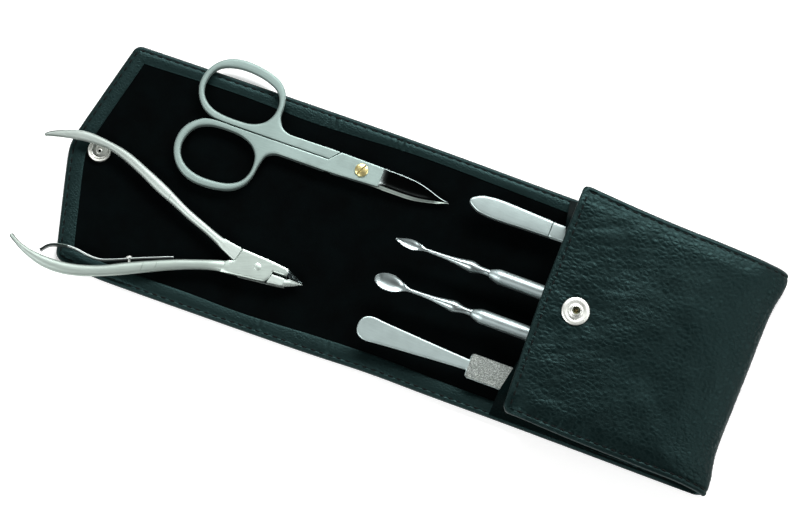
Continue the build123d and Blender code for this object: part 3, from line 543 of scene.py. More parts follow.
M_front = leather("leather_front", 0.00022, 700.0, shine=0.27, rough=(0.46, 0.29), cells_at=(0.68, 1.0, 1.0), pulled=True, domed=True)
M_leather = leather("leather_border", 0.00007, 1000.0, shine=0.34, rough=(0.46, 0.32))
M_gusset = leather("leather_gusset", 0.00005, 1000.0, shine=0.05, rough=(0.66, 0.56))
M_suede = suede("suede")
M_thread = thread_material("thread")
# the fades below paint shade: darker scissor rings and darker nipper handles
M_satin = steel("satin_steel", (0.36, 0.46, 0.435), 0.52, shade_fade=(-0.049, -0.058, 0.84, 0.66))
M_satin_p = steel("satin_steel_flat", (0.455, 0.55, 0.54), 0.46, cloud=0.04)
M_satin_n = steel("satin_steel_nippers", (0.60, 0.70, 0.645), 0.46, 0.04, (180, 1500, 900), turn=-0.345, cloud=0.04, shade_fade=(-0.054, -0.062, 0.62, 0.58), detail=1.5)
# the far half of the nippers: the same steel as the near half, coloured darker as painted shade
M_satin_f_shaded = steel("satin_steel_nippers_far_painted_shade", (0.53, 0.60, 0.565), 0.60, 0.04, (180, 1500, 900), turn=0.34, cloud=0.04, shade_fade=(-0.076, -0.100, 0.74, 0.64), detail=1.5)
# painted reflection: the polished jaws' dark reflection is put into a near-black steel colour
M_jaw_dark_reflection = steel("jaw_steel_painted_reflection", (0.10, 0.13, 0.13), 0.22, 0.15)
# painted shade: near-black steel on the lap faces seen through the seam, standing in for the shade there
M_gap_shade = steel("lap_painted_shade", (0.02, 0.025, 0.025), 0.6, 0.1)
M_polish = steel("polished_steel", (0.44, 0.52, 0.52), 0.36, 0.10)
M_blade = steel("blade_steel", (0.46, 0.53, 0.52), 0.08, 0.05)
# its polish begins just past the plate
nt_ = M_blade.node_tree
sep_ = nt_.nodes.new("ShaderNodeSeparateXYZ")
nt_.links.new(coords(nt_, (100, 100, 100)), sep_.inputs[0])
nt_.links.new(ramp(nt_, math_node(nt_, "ADD", sep_.outputs["X"], value=2.0), [(0.0, (0.5,) * 3), (0.14, (0.42,) * 3), (0.30, (0.16,) * 3), (0.42, (0.07,) * 3)]),
              nt_.nodes["Principled BSDF"].inputs["Roughness"])
M_tube = steel("tube_steel", (0.42, 0.50, 0.50), 0.46, 0.10)
M_spring = steel("spring_steel", (0.34, 0.38, 0.37), 0.32, 0.05)
M_curl = steel("spring_steel_dark", (0.05, 0.065, 0.06), 0.35, 0.05)
M_nickel = steel("nickel", (0.82, 0.84, 0.79), 0.48, 0.12, (900, 900, 900))
# brown brass, darkened further as painted shade for the bottom of the stud's hole
M_post_shaded = steel("brown_brass_painted_shade", (0.16, 0.13, 0.06), 0.40, 0.12, (900, 900, 900))
M_brass = steel("brass", (0.92, 0.79, 0.36), 0.36, 0.1)
# painted shade: the inside of the stud's bore in a dark olive steel
M_well_shade = steel("stud_well_painted_shade", (0.10, 0.11, 0.07), 0.5, 0.12, (900, 900, 900))
M_grit = grit_material("grit")

# ================================================================ the case
half_w = 39.4
x_tip, x_corner = -119.1, -109.4
flap_crease, back_crease, mid = -39.7, -16.0, -27.85
mouth_x = 46.3
tilt = math.radians(5.23)
snap = (57.7, 0.9, 16.75)
sock = (-108.9, 0.9)

far_edge = [(-110, 38.9), (-90, 39.2), (-60, 39.5), (-20, 39.75), (0, 39.7), (46, 39.2), (80, 39.2), (116, 39.4)]
near_edge = [(-110, -37.9), (-96, -39.6), (-85, -39.8), (-60, -39.8), (-20, -39.5), (0, -39.0), (20, -39.3), (45, -39.5),
             (80, -40.0), (105, -40.4), (116, -40.5)]
far_width = [(-110, 5.5), (-100, 5.4), (-70, 5.0), (-45, 5.8), (-30, 5.4), (-18, 4.8), (20, 4.9), (60, 5.5), (116, 5.5)]
near_width = [(-110, 5.6), (-90, 5.7), (-65, 5.8), (-50, 5.4), (-20, 6.3), (0, 6.2), (30, 5.8), (60, 5.7), (116, 5.7)]

D = np.array([0, 0.07, 0.22, 0.45, 0.75, 1.05, 1.3, 1.5, 1.7, 1.8, 2.05, 2.4, 2.9, 3.5, 4.1, 4.7, 5.2, 5.5, 5.66, 5.75, 5.84, 6.1])
# the turned border seen across: crowned, pressed in along the seam, ending in a cut edge
zt_profile = [(0, 1.55), (0.07, 1.92), (0.22, 2.18), (0.45, 2.38), (0.75, 2.52), (1.05, 2.55), (1.3, 2.50), (1.5, 2.44),
              (1.8, 2.50), (2.05, 2.58), (2.4, 2.64), (2.9, 2.68), (3.5, 2.68), (4.1, 2.65), (4.7, 2.60), (5.2, 2.55),
              (5.5, 2.50), (5.66, 2.42), (5.75, 2.25), (5.84, 1.9), (6.1, 1.85), (200, 1.85)]
zb_profile = [(0, 1.25), (0.07, 0.85), (0.22, 0.52), (0.45, 0.26), (0.75, 0.08), (1.05, 0.01), (1.3, 0.0), (200, 0.0)]


def table(x, t):
    a = np.array(t, float).T
    return np.interp(x, a[0], a[1])


def widen(d, w):
    """Stations across the border, stretched to its width there."""
    return np.where(d < 2.0, d, 2.0 + (d - 2.0) * (w - 2.0) / 3.75)


def rows(x, inner):
    """y for every station across, from the near edge to the far edge, and each station's distance from its edge."""
    n, f = lerp_at(x, near_edge), lerp_at(x, far_edge)
    wn, wf = lerp_at(x, near_width), lerp_at(x, far_width)
    near = n[..., None] + widen(D, wn[..., None])
    far = f[..., None] - widen(D, wf[..., None])
    t = np.linspace(0, 1, inner + 2)[1:-1]
    middle = near[..., -1:] + (far[..., -1:] - near[..., -1:]) * t
    return np.concatenate([near, middle, far[..., ::-1]], -1)


def crease_lines(x, y):
    """The soft folds pressed into the leather at the two creases, and wrinkles beside them."""
    z = np.zeros(np.broadcast(x, y).shape)
    for c, a in ((flap_crease, 0.20), (back_crease, 0.20)):
        skew = c + 0.35 * np.sin(y / 9.0 + c)
        z = z - a * np.exp(-(((x - skew) / 1.1) ** 2))
    return z


def wrinkles(x, y, edge):
    """Short wrinkles across the border beside the creases."""
    z = np.zeros(np.broadcast(x, y).shape)
    for c, a in ((flap_crease, 0.19), (mid + 1.0, 0.14), (back_crease, 0.17)):
        z = z + a * np.sin(2 * math.pi * (x - c + 0.22 * y) / 2.3) * np.exp(-(((x - c) / 4.0) ** 2)) * (0.35 + 0.65 * (np.asarray(y) > 0))
    return z * edge


INNER = 150
dist_row = np.concatenate([D, np.full(INNER, 99.0), D[::-1]])
J15n, J15f = int(np.where(D == 1.5)[0][0]), len(dist_row) - 1 - int(np.where(D == 1.5)[0][0])
J18n, J18f = int(np.where(D == 1.8)[0][0]), len(dist_row) - 1 - int(np.where(D == 1.8)[0][0])

# ---- stitches ---------------------------------------------------------------


def stitch(path, up, pitch=3.0, length=2.25, width=0.5, height=0.36, start=1.0, below=99.0):
    """Stitches along a path of points, each a plump short run of thread that dips into its holes."""
    path, up = np.asarray(path, float), np.asarray(up, float)
    seg = np.linalg.norm(np.diff(path, axis=0), axis=1)
    s = np.concatenate([[0], np.cumsum(seg)])
    parts = []
    k = 10
    u = np.linspace(-1, 1, 7)
    ang = np.linspace(0, 2 * math.pi, 8, endpoint=False)
    at = start
    while at + length < s[-1]:
        c = at + length / 2
        a = np.array([np.interp(c - length / 2, s, path[:, i]) for i in range(3)])
        b = np.array([np.interp(c + length / 2, s, path[:, i]) for i in range(3)])
        n = np.array([np.interp(c, s, up[:, i]) for i in range(3)])
        m = np.array([np.interp(c, s, path[:, i]) for i in range(3)])
        t = (b - a) / np.linalg.norm(b - a)
        n = n - t * np.dot(n, t)
        n /= np.linalg.norm(n)
        w = np.cross(n, t)
        r = np.sqrt(np.clip(1 - np.abs(u) ** 2.6, 0.02, 1))
        v = []
        for uu, rr in zip(u, r):
            centre = m + t * uu * length / 2 + n * (0.10 - 0.20 * uu * uu)
            for q in ang:
                v.append(centre + w * math.cos(q) * rr * width / 2 + n * math.sin(q) * rr * height / 2)
        v = np.array(v)
        v[:, 2] = np.minimum(v[:, 2], below)
        idx = np.arange(7 * 8).reshape(7, 8)
        nx = np.roll(idx, -1, axis=1)
        f = [list(q) for q in np.stack([idx[:-1], nx[:-1], nx[1:], idx[1:]], -1).reshape(-1, 4)]
        f += [list(idx[0][::-1]), list(idx[-1])]
        parts.append((v, f))
        at += pitch
    return parts


# ---- flap with half of the spine ----------------------------------------------
xs_in = np.concatenate([np.linspace(0, 1, 30)[1:]])
x_run = np.concatenate([np.arange(-46.0 + 0.5, -33.9, 0.5), np.linspace(-33.4, mid, 6)])
slope = (x_corner - x_tip) / half_w


def left_edge(y):
    return x_tip + 0.25 + slope * (np.sqrt(y * y + 9.0) - 3.0) * 1.02


nb = len(D)
NI = nb + len(xs_in) + len(x_run)
dist_col = np.concatenate([D, np.full(NI - nb, 99.0)])
corner_r = 2.2
gx = np.zeros((NI, len(dist_row)))
gy = np.zeros_like(gx)
dcol = np.repeat(dist_col[:, None], len(dist_row), 1)
drow = np.repeat(dist_row[None, :], NI, 0)
dd = np.minimum(dcol, drow)
a_, b_ = corner_r - dcol, corner_r - drow
both = (a_ > 0) & (b_ > 0)
kk = np.where(both, np.maximum(a_, b_) / np.maximum(np.hypot(a_, b_), 1e-9), 1.0)
dcol2 = np.where(both, corner_r - a_ * kk, dcol)
shift_row = np.where(both, (corner_r - b_ * kk) - drow, 0.0)
for it in range(3):
    y_guess = gy if it else np.repeat(rows(np.full(1, -100.0), INNER), NI, 0)
    le = left_edge(y_guess)
    for i in range(NI):
        if i < nb:
            gx[i] = le[i] + dcol2[i] * 1.03
        elif i < nb + len(xs_in):
            x0 = le[i] + D[-1] * 1.03
            gx[i] = x0 + (-46.0 - x0) * xs_in[i - nb]
        else:
            gx[i] = x_run[i - nb - len(xs_in)]
    new = np.zeros_like(gy)
    # each station across is worked out at its own x
    n_, f_ = lerp_at(gx, near_edge), lerp_at(gx, far_edge)
    wn_, wf_ = lerp_at(gx, near_width), lerp_at(gx, far_width)
    K = len(D)
    new[:, :K] = n_[:, :K] + widen(D[None, :], wn_[:, :K])
    new[:, -K:] = f_[:, -K:] - widen(D[::-1][None, :], wf_[:, -K:])
    tt = np.linspace(0, 1, INNER + 2)[1:-1]
    new[:, K:-K] = new[:, K - 1:K] + (new[:, -K][:, None] - new[:, K - 1:K]) * tt
    sign = np.where(np.arange(new.shape[1]) < new.shape[1] / 2, 1.0, -1.0)
    gy = new + shift_row * sign


def border_top(x, y, d, extra=0.0):
    inside = smooth(d, 0.2, 1.2) * (1 - smooth(d, 5.3, 5.8))
    z = table(d, zt_profile) + wrinkles(x, y, inside) + crease_lines(x, y) * smooth(d, 0.1, 0.9) * (d < 5.9)
    z = z + inside * 0.05 * np.sin(x / 7.3 + y / 5.1)
    return np.where(z > 2.6, 2.6 + 0.13 * np.tanh((z - 2.6) / 0.13), z)      # clear of the scissors that swing over it


zt = border_top(gx, gy, dd)
zb = table(dd, zb_profile)
top_flap = np.stack([gx, gy, zt], -1)
bot_flap = np.stack([gx, gy, zb], -1)
v, f = shell(top_flap, bot_flap)
case_flap = mesh("case_flap_leather", v, f, [M_leather], slot="leather", sharp=55,
                 nodes=("flap_leather", "flap_board"))
up1 = np.tile([0, 0, 1.0], (10000, 1))
I15 = int(np.where(D == 1.5)[0][0])
parts = []
path = np.vstack([top_flap[::-1, J15n][: NI - I15 - 2], top_flap[I15, J15n + 2:J15f - 1], top_flap[I15 + 2:, J15f]])
parts += stitch(path, up1[:len(path)], below=2.76)
flap_stitches = mesh("flap_stitches", *join(parts), [M_thread], slot="leather")

# ---- back, pocket fold and pocket front in one piece of leather ------------------
PITCH = 0.36
strip_x = np.concatenate([np.linspace(mid, -22.4, 6), np.arange(-21.8, -9.9, 0.5), np.arange(-8.5, 112.9, 2.2), [113.0]])
outer_pts = [(113.0, 0.0), (115.6, 0.02), (117.2, 0.35), (118.4, 1.25), (118.75, 2.3), (118.1, 3.5), (116.2, 5.0), (111.0, 7.6),
             (103.0, 10.3), (92.0, 12.75), (78.0, 14.65), (62.9, 16.27), (57.7, 16.75), (52.5, 17.23), (mouth_x, 17.79)]
oc = curve(outer_pts, 0.1)
seg = np.concatenate([[0], np.cumsum(np.linalg.norm(np.diff(oc, axis=0), axis=1))])
total = seg[-1]
s_run = np.arange(PITCH, total - 2.4, PITCH)
s_run = np.concatenate([s_run, total - np.array([2.3, 2.1, 1.9, 1.6, 1.2, 0.8, 0.45, 0.2, 0.06, 0.0])])
front_c = np.stack([np.interp(s_run, seg, oc[:, 0]), np.interp(s_run, seg, oc[:, 1])], 1)
station = np.vstack([np.column_stack([strip_x, np.zeros_like(strip_x)]), front_c])
tang = np.gradient(station, axis=0)
tang /= np.linalg.norm(tang, axis=1)[:, None]
tang[: len(strip_x) - 1] = (1, 0)
nrm = np.stack([-tang[:, 1], tang[:, 0]], 1)
S = np.concatenate([strip_x - 113.0, s_run])          # length along the leather, 0 where the fold begins
from_mouth = total - S
NS = len(station)
is_front = smooth(S, 0.5, 4.5)[:, None]               # 0 on the strip, 1 on the pocket front
far_front = [(46.3, 42.3), (60, 41.2), (80, 40.3), (100, 40.1), (112, 40.05), (117, 39.9), (119, 39.6)]
near_front = [(46.3, -38.2), (60, -38.8), (75, -39.3), (95, -39.5), (112, -39.6), (117, -39.9), (119, -40.2)]
X = station[:, 0]
wf = is_front[:, 0]
nY = lerp_at(X, near_edge) * (1 - wf) + lerp_at(X, near_front) * wf
fY = lerp_at(X, far_edge) * (1 - wf) + lerp_at(X, far_front) * wf
wn = lerp_at(X, near_width) * (1 - wf) + 5.75 * wf
wF = lerp_at(X, far_width) * (1 - wf) + 5.75 * wf
near = nY[:, None] + widen(D[None, :], wn[:, None])
far = fY[:, None] - widen(D[None, :], wF[:, None])
tt = np.linspace(0, 1, INNER + 2)[1:-1]
Y = np.concatenate([near, near[:, -1:] + (far[:, -1:] - near[:, -1:]) * tt, far[:, ::-1]], 1)
dj = np.repeat(dist_row[None, :], NS, 0)
# on the pocket, distances keep growing towards the middle
from_near, from_far = Y - nY[:, None], fY[:, None] - Y
d_edge = np.minimum(from_near, from_far)

# leather pebbles on the pocket front, worked out on the flat leather
cellsize = 1.5
px, py = np.meshgrid(np.arange(-30, total + 40, cellsize), np.arange(-80, 90, cellsize * 0.92))
px = px + (np.arange(px.shape[0]) % 2)[:, None] * cellsize / 2
pts = np.stack([px.ravel(), py.ravel()], 1) + rng.uniform(-0.42, 0.42, (px.size, 2)) * cellsize
tree = KDTree(len(pts))
for i, p in enumerate(pts):
    tree.insert((p[0], p[1], 0), i)
tree.balance()
size_of = rng.uniform(0.55, 1.25, len(pts))
fi = np.where(S > 0)[0]
peb = np.zeros((NS, Y.shape[1]))
warp_a = wobble(S[fi][:, None], Y[fi], 3.4, 4.0) * 0.55 + wobble(S[fi][:, None], Y[fi], 1.3, 14.0) * 0.16
warp_b = wobble(S[fi][:, None], Y[fi], 3.4, 9.0) * 0.55 + wobble(S[fi][:, None], Y[fi], 1.3, 19.0) * 0.16
pull = 0.5 + 0.5 * wobble(S[fi][:, None], Y[fi], 22.0, 31.0)
for a, i in enumerate(fi):
    for j in range(Y.shape[1]):
        # the grain is drawn out along a slant where the skin was stretched
        k_ = 0.72 + 0.2 * pull[a, j]
        p_, q_ = 0.94 * S[i] - 0.34 * Y[i, j], (0.34 * S[i] + 0.94 * Y[i, j])
        (c1, i1, d1), (c2, i2, d2) = tree.find_n((0.94 * p_ * k_ + 0.34 * q_ + 14 + warp_a[a, j], -0.34 * p_ * k_ + 0.94 * q_ + warp_b[a, j], 0), 2)
        g = min(1.0, (d2 - d1) / 0.62)
        peb[i, j] = g * (2 - g) * size_of[i1] - 0.22 * d1
peb *= 0.07

u = np.clip(from_near / (from_near + from_far), 0, 1)
sheet_x = np.repeat(X[:, None], Y.shape[1], 1)
droop = -1.0 * (1 - smooth(d_edge, -0.5, 7.5)) - 0.15 * (1 - smooth(d_edge, 0, 2.4))
belly = 0.55 * np.sin(math.pi * u) ** 0.7 * smooth(from_mouth, 4, 30)[:, None] * smooth(S, 2, 20)[:, None]
undul = 0.55 * wobble(sheet_x, Y, 21.0, 2.0) + 0.20 * wobble(sheet_x, Y, 8.0, 5.0)
fold_lines = 0.16 * wobble(sheet_x * 0.35 + Y * 0.2, Y * 1.0 - sheet_x * 0.45, 3.2, 41.0) * np.exp(-(((sheet_x - 60) / 17.0) ** 2))
undul = (undul + fold_lines) * smooth(from_mouth, 1, 8)[:, None] * smooth(S, 1, 9)[:, None]
seam = -0.22 * np.exp(-(((d_edge - 1.8) / 0.42) ** 2)) * (from_mouth > 2.0)[:, None]
seam = seam - 0.14 * np.exp(-(((from_mouth - 2.1) / 0.34) ** 2))[:, None]
rs = np.hypot(sheet_x - snap[0], Y - snap[1])
ang = np.arctan2(Y - snap[1], sheet_x - snap[0])
stud_mask = smooth(rs, 4.6, 11.0)
pucker = 0.10 * np.sin(ang * 7 + 1.0) * np.exp(-(((rs - 7.0) / 2.2) ** 2)) * (rs > 4.8)
dip = (-0.55 * (1 - smooth(from_mouth, 0, 9.0)))[:, None] * np.ones_like(Y)
off = (droop + belly + undul + dip) * (0.08 + 0.92 * stud_mask) + pucker + seam
off = off * is_front + peb * is_front * (1 - 0.75 * np.exp(-(((d_edge - 1.8) / 0.4) ** 2))) * (0.15 + 0.85 * smooth(rs, 4.2, 5.4))
off *= (1 - 0.6 * np.exp(-((from_mouth / 0.5) ** 2)))[:, None]

thick = 1.5 + 0.45 * (1 - smooth(from_mouth, 2.3, 2.8))
top_strip = border_top(sheet_x, Y, dj)
hollow = smooth(sheet_x, 104.0, 112.0) * (1 - is_front)
top_strip = top_strip * (1 - hollow) + np.minimum(top_strip, 1.55) * hollow
edge_f = 1 - 0.42 * (1 - np.sqrt(np.clip(1 - (1 - np.clip(d_edge / 0.8, 0, 1)) ** 2, 0, 1)))
lip = np.sqrt(np.clip(1 - (1 - np.clip(from_mouth / 0.9, 0, 1)) ** 2, 0, 1))[:, None]
half_t = thick[:, None] / 2
inner_off = half_t + half_t * np.minimum(lip, (edge_f - 0.58) / 0.42)
outer_in = half_t - half_t * np.minimum(lip, (edge_f - 0.58) / 0.42)
t_top = top_strip * (1 - is_front) + inner_off * is_front
t_bot = table(dj, zb_profile) * (1 - is_front) + outer_in * is_front
hem = (0.28 * (1 - smooth(from_mouth, 2.35, 2.75)))[:, None] * is_front
O = station[:, None, :] + nrm[:, None, :] * (t_bot - off - hem)[:, :, None]
T = station[:, None, :] + nrm[:, None, :] * (t_top - off * is_front)[:, :, None]
fold_x = [(-41, 0.0), (-38.8, -0.1), (-35, -1.0), (-30, -2.0), (-25, -2.65), (-20, -2.75), (-10, -2.45), (0, -2.1), (10, -1.8),
          (20, -1.2), (28, -0.4), (33, 0.65), (37, 1.25), (39, 1.1), (41, -0.9)]
mouth_bow = [(-39, 0.0), (-20, -0.45), (0, -0.85), (20, -0.45), (41.5, 0.0)]


def shaped(grid):
    x, z = grid[..., 0], grid[..., 1]
    w = smooth(sheet_x, 90, 117) * smooth(S, -12, 1)[:, None]
    m = (1 - smooth(sheet_x, 46, 56)) * is_front
    return np.stack([x + lerp_at(Y, fold_x) * w + lerp_at(Y, mouth_bow) * m, Y, z], -1)


# round off the corners of the mouth
cr_m = 2.4
fm_ = np.repeat(from_mouth[:, None], Y.shape[1], 1)
am, bm_ = cr_m - fm_, cr_m - d_edge
bothm = (am > 0) & (bm_ > 0)
km = np.where(bothm, np.maximum(am, bm_) / np.maximum(np.hypot(am, bm_), 1e-9), 1.0)
move_s = np.where(bothm, (cr_m - am * km) - fm_, 0.0)
move_y = np.where(bothm, (cr_m - bm_ * km) - d_edge, 0.0) * np.where(from_near < from_far, 1, -1)
for G in (O, T):
    G -= tang[:, None, :] * move_s[:, :, None]
Y_keep = Y
Y = Y + move_y
bot_back, top_back = shaped(O), shaped(T)
bot_back[..., 2] = np.maximum(bot_back[..., 2], 0.0)
v, f = shell(top_back, bot_back)
nf = (NS - 1) * (Y.shape[1] - 1)
face_mat = np.zeros(len(f), int)
fi_i = np.repeat(np.arange(NS - 1), Y.shape[1] - 1)
fj_j = np.tile(np.arange(Y.shape[1] - 1), NS - 1)
front_face = S[fi_i] > 1.0
face_mat[nf:2 * nf][front_face] = 1
inside_face = front_face & (from_mouth[fi_i] > 2.6) & (d_edge[fi_i, fj_j] > 3.4)
face_mat[:nf][front_face] = 1
face_mat[:nf][inside_face] = 2
rim_face = front_face & ((d_edge[fi_i, fj_j] < 1.2) | (from_mouth[fi_i] < 1.5))
face_mat[nf:2 * nf][rim_face] = 0
face_mat[:nf][rim_face] = 0
case_back = mesh("case_back_leather", v, f, [M_leather, M_front, M_suede], slot="leather", face_mat=face_mat, sharp=60,
                 nodes=("back_leather", "back_board", "pocket_front_leather", "pocket_front_lining", "spine_leather",
                        "spine_padding"))
parts = []
last = int(np.where(X[: len(strip_x)] < 110)[0][-1])
for j in (J15n, J15f):
    p = top_back[:last, j]
    parts += stitch(p, up1[:len(p)], below=2.76)
fr = np.where((S > 6.0) & (from_mouth > 2.0))[0]
normal3 = np.stack([-nrm[:, 0], np.zeros(NS), -nrm[:, 1]], 1)
for j in (J18n, J18f):
    p = bot_back[fr, j]
    parts += stitch(p, normal3[fr], start=1.4)
im = int(np.argmin(np.abs(from_mouth - 2.1)))
p = bot_back[im, J18n:J18f + 1]
parts += stitch(p, np.tile(normal3[im], (len(p), 1)), start=0.9)
back_stitches = mesh("case_stitches", *join(parts), [M_thread], slot="leather")

# ---- suede lining ---------------------------------------------------------------


def lining_height(x, y):
    z = 2.2 + 0.9 * crease_lines(x, y) + 0.05 * wobble(x, y, 9.0, 3.0) + 0.05 * wobble(x, y, 26.0, 8.0)
    for (ax, ay), (bx, by), a, w in (((-95, 12), (-60, -26), 0.05, 1.4), ((-60, 10), (-22, -6), 0.05, 1.2), ((10, 18), (44, 8), 0.05, 1.2),
                                     ((-8, -20), (20, -4), 0.05, 1.5)):
        t = np.clip(((x - ax) * (bx - ax) + (y - ay) * (by - ay)) / ((bx - ax) ** 2 + (by - ay) ** 2), 0, 1)
        d = np.hypot(x - ax - t * (bx - ax), y - ay - t * (by - ay))
        z = z + a * np.exp(-((d / w) ** 2))
    return z


def lining(name, x_cols, body_pair, nodes, flat, side):
    """x_cols gives the x of every column as a function of y."""
    ny = 96
    t = np.linspace(0, 1, ny)
    x0 = x_cols(np.zeros(ny))
    gy2 = np.zeros((x0.shape[0], ny))
    gx2 = np.zeros_like(gy2)
    for _ in range(3):
        gx2 = x_cols(gy2[0] if _ else np.linspace(-34, 34, ny))
        lo = lerp_at(gx2, near_edge) + lerp_at(gx2, near_width) - 0.45
        hi = lerp_at(gx2, far_edge) - lerp_at(gx2, far_width) + 0.45
        gy2 = lo + (hi - lo) * t
    z2 = lining_height(gx2, gy2)
    top2 = np.stack([gx2, gy2, z2], -1)
    bot2 = np.stack([gx2, gy2, np.full_like(gx2, 1.8)], -1)
    v2, f2 = shell(top2, bot2)
    ob = mesh(name, v2, f2, [M_suede], slot="suede", sharp=60, nodes=nodes)
    return ob


def flap_cols(y):
    x0 = left_edge(y) + 5.35 * 1.03
    t = np.linspace(0, 1, 72)[:, None]
    a = x0[None, :] + (-46.0 - x0[None, :]) * t
    b = np.repeat(x_run[:, None], len(y), 1)
    return np.vstack([a, b])


def back_cols(y):
    c = np.concatenate([np.linspace(mid, -22.4, 6), np.arange(-21.8, -9.9, 0.5), np.arange(-9.0, 111.0, 1.2)])
    return np.repeat(c[:, None], len(y), 1)


lin_flap = lining("flap_suede", flap_cols, None, ("flap_lining",), None, -1)
lin_back = lining("case_suede", back_cols, None, ("back_lining", "spine_lining"), None, 1)

# ---- gussets ----------------------------------------------------------------------
oxz = np.array(outer_pts[6:][::-1])
stations = {
    1: [(40.0, (29.9, 11.6), (22.0, 12.9)), (46.3, (29.9, 11.6), (22.0, 12.9)), (56.0, (30.6, 11.3), (27.0, 12.6)),
        (65.0, (33.2, 8.6), (31.4, 11.0)), (87.0, (33.6, 6.8), (31.7, 9.0)), (100.0, (34.6, 5.0), (33.2, 6.6)),
        (111.0, (36.2, 3.9), (35.2, 4.7))],
    -1: [(40.0, (31.2, 9.1), (20.2, 11.8)), (46.3, (31.2, 9.1), (20.2, 11.8)), (56.0, (31.4, 8.9), (24.0, 11.2)),
         (65.0, (32.6, 8.6), (27.5, 10.6)), (87.0, (33.0, 7.4), (31.7, 9.0)), (100.0, (34.6, 5.0), (33.2, 6.6)),
         (111.0, (36.2, 3.9), (35.2, 4.7))]}


def gusset(name, sign, nodename):
    st = stations[sign]
    cols = [s[0] for s in st]
    xs = np.concatenate([np.linspace(0, 1, 36)])
    grids = [[], []]
    for t in xs:
        line = []
        # the free edge slants up to the mouth's corner, so a section's x depends on height
        x_mid = 44.4 + (111.0 - 44.4) * t
        bend = [np.interp(x_mid, cols, [s[1][k] for s in st]) for k in (0, 1)]
        cre = [np.interp(x_mid, cols, [s[2][k] for s in st]) for k in (0, 1)]
        x_top = max(x_mid, mouth_x + 0.6)
        zt_ = float(np.interp(x_top, oxz[:, 0], oxz[:, 1])) - 1.75
        yt = float(lerp_at(x_top, far_front) if sign > 0 else -lerp_at(x_top, near_front)) - 1.2
        line = [(38.1, 2.62), (36.2, 2.62 + (bend[1] - 2.6) * 0.22), tuple(bend),
                (0.5 * (bend[0] + cre[0]), 0.5 * (bend[1] + cre[1]) + 0.1), tuple(cre),
                (cre[0] + 0.55, cre[1] + 0.75), (min(36.0, cre[0] + 9.0), (zt_ + cre[1]) / 2 + 0.7), (yt - 1.2, zt_ - 0.25), (yt, zt_)]
        c = curve(line, 0.6)
        # the same number of points in every section
        q = np.concatenate([[0], np.cumsum(np.linalg.norm(np.diff(c, axis=0), axis=1))])
        c = np.stack([np.interp(np.linspace(0, q[-1], 44), q, c[:, k]) for k in (0, 1)], 1)
        tg = np.gradient(c, axis=0)
        tg /= np.linalg.norm(tg, axis=1)[:, None]
        nn = np.stack([tg[:, 1], -tg[:, 0]], 1)
        sl = np.linspace(0, q[-1], 44)
        k_bend = sl[np.argmin(np.hypot(c[:, 0] - bend[0], c[:, 1] - bend[1]))]
        k_cre = sl[np.argmin(np.hypot(c[:, 0] - cre[0], c[:, 1] - cre[1]))]
        marks = (42.9, 44.3, 46.3, 46.9) if sign > 0 else (41.9, 42.7, 45.2, 46.9)
        start = np.interp(sl, [0, k_bend, k_cre, q[-1]], marks)
        x_here = start + (111.0 - start) * t
        soft = 0.10 * np.sin(x_here / 4.1 + c[:, 1] * 0.8)
        for g, w in zip(grids, (0.36, -0.36)):
            g.append(np.stack([x_here, sign * (c[:, 0] + nn[:, 0] * w + soft * 0.5), c[:, 1] + nn[:, 1] * w], -1))
    v3, f3 = shell(np.array(grids[0]), np.array(grids[1]))
    return mesh(name, v3, f3, [M_gusset], "case_back", "gusset_leather", sharp=60, nodes=(nodename,))


gus_far = gusset("pocket_gusset_far", 1, "gusset_far")
gus_near = gusset("pocket_gusset_near", -1, "gusset_near")

# ---- loop strip for the tools --------------------------------------------------------
line = [(-31.0, 2.72)]
for y, hw, topz in [(-26.2, 4.6, 7.0), (-9.8, 2.8, 10.25), (4.7, 2.8, 10.25), (25.6, 3.9, 10.2)]:
    a = np.linspace(0, math.pi, 23)
    c, s = np.cos(a[::-1]), np.sin(a)
    line.append((y - hw - 1.0, 2.72))
    line += [(y + np.sign(cc) * abs(cc) ** 0.35 * (hw + 0.4), 2.75 + (topz + 0.4 - 2.75) * ss ** 0.35) for cc, ss in zip(c, s)]
    line.append((y + hw + 1.0, 2.72))
line.append((31.0, 2.72))
c = dense(np.vstack([line, line[::-1]]), 0.7)[: None]
c = np.array([p for i, p in enumerate(curve(line, 0.7))])
tg = np.gradient(c, axis=0)
tg /= np.maximum(np.linalg.norm(tg, axis=1), 1e-9)[:, None]
nn = np.stack([-tg[:, 1], tg[:, 0]], 1)
xs = np.linspace(66, 86, 16)
gt = np.stack([np.stack([np.full(len(c), x), c[:, 0] + nn[:, 0] * 0.33, c[:, 1] + nn[:, 1] * 0.33], -1) for x in xs])
gb = np.stack([np.stack([np.full(len(c), x), c[:, 0] - nn[:, 0] * 0.33, c[:, 1] - nn[:, 1] * 0.33], -1) for x in xs])
v, f = shell(gt, gb)
loop_strip = mesh("tool_loops", v, f, [M_suede], "case_back", "suede", sharp=60, nodes=("tool_loop_strip",))

# ---- press stud ------------------------------------------------------------------------
sx, sz = (math.cos(tilt), 0, -math.sin(tilt)), (math.sin(tilt), 0, math.cos(tilt))


def arc(cx, cz, r, a0, a1, n=6):
    return [(cx + r * math.cos(math.radians(a)), cz + r * math.sin(math.radians(a))) for a in np.linspace(a0, a1, n)]


stud_profile = ([(0.85, 0.06), (4.45, 0.06)] + arc(4.45, 0.31, 0.25, -90, 60, 6) + [(4.3, 0.62), (4.0, 0.72), (3.5, 0.74), (3.05, 0.66), (2.7, 0.58), (2.35, 0.6), (2.0, 0.72)]
                + [(1.8, 0.9), (1.72, 1.15), (1.72, 1.42)] + arc(1.6, 1.78, 0.36, -60, 75, 7) + [(1.55, 2.3), (1.38, 2.36), (1.24, 2.28), (1.18, 2.1), (1.15, 1.5), (0.85, 1.42), (0.85, 0.06)])
v, f = lathe(stud_profile, 64)
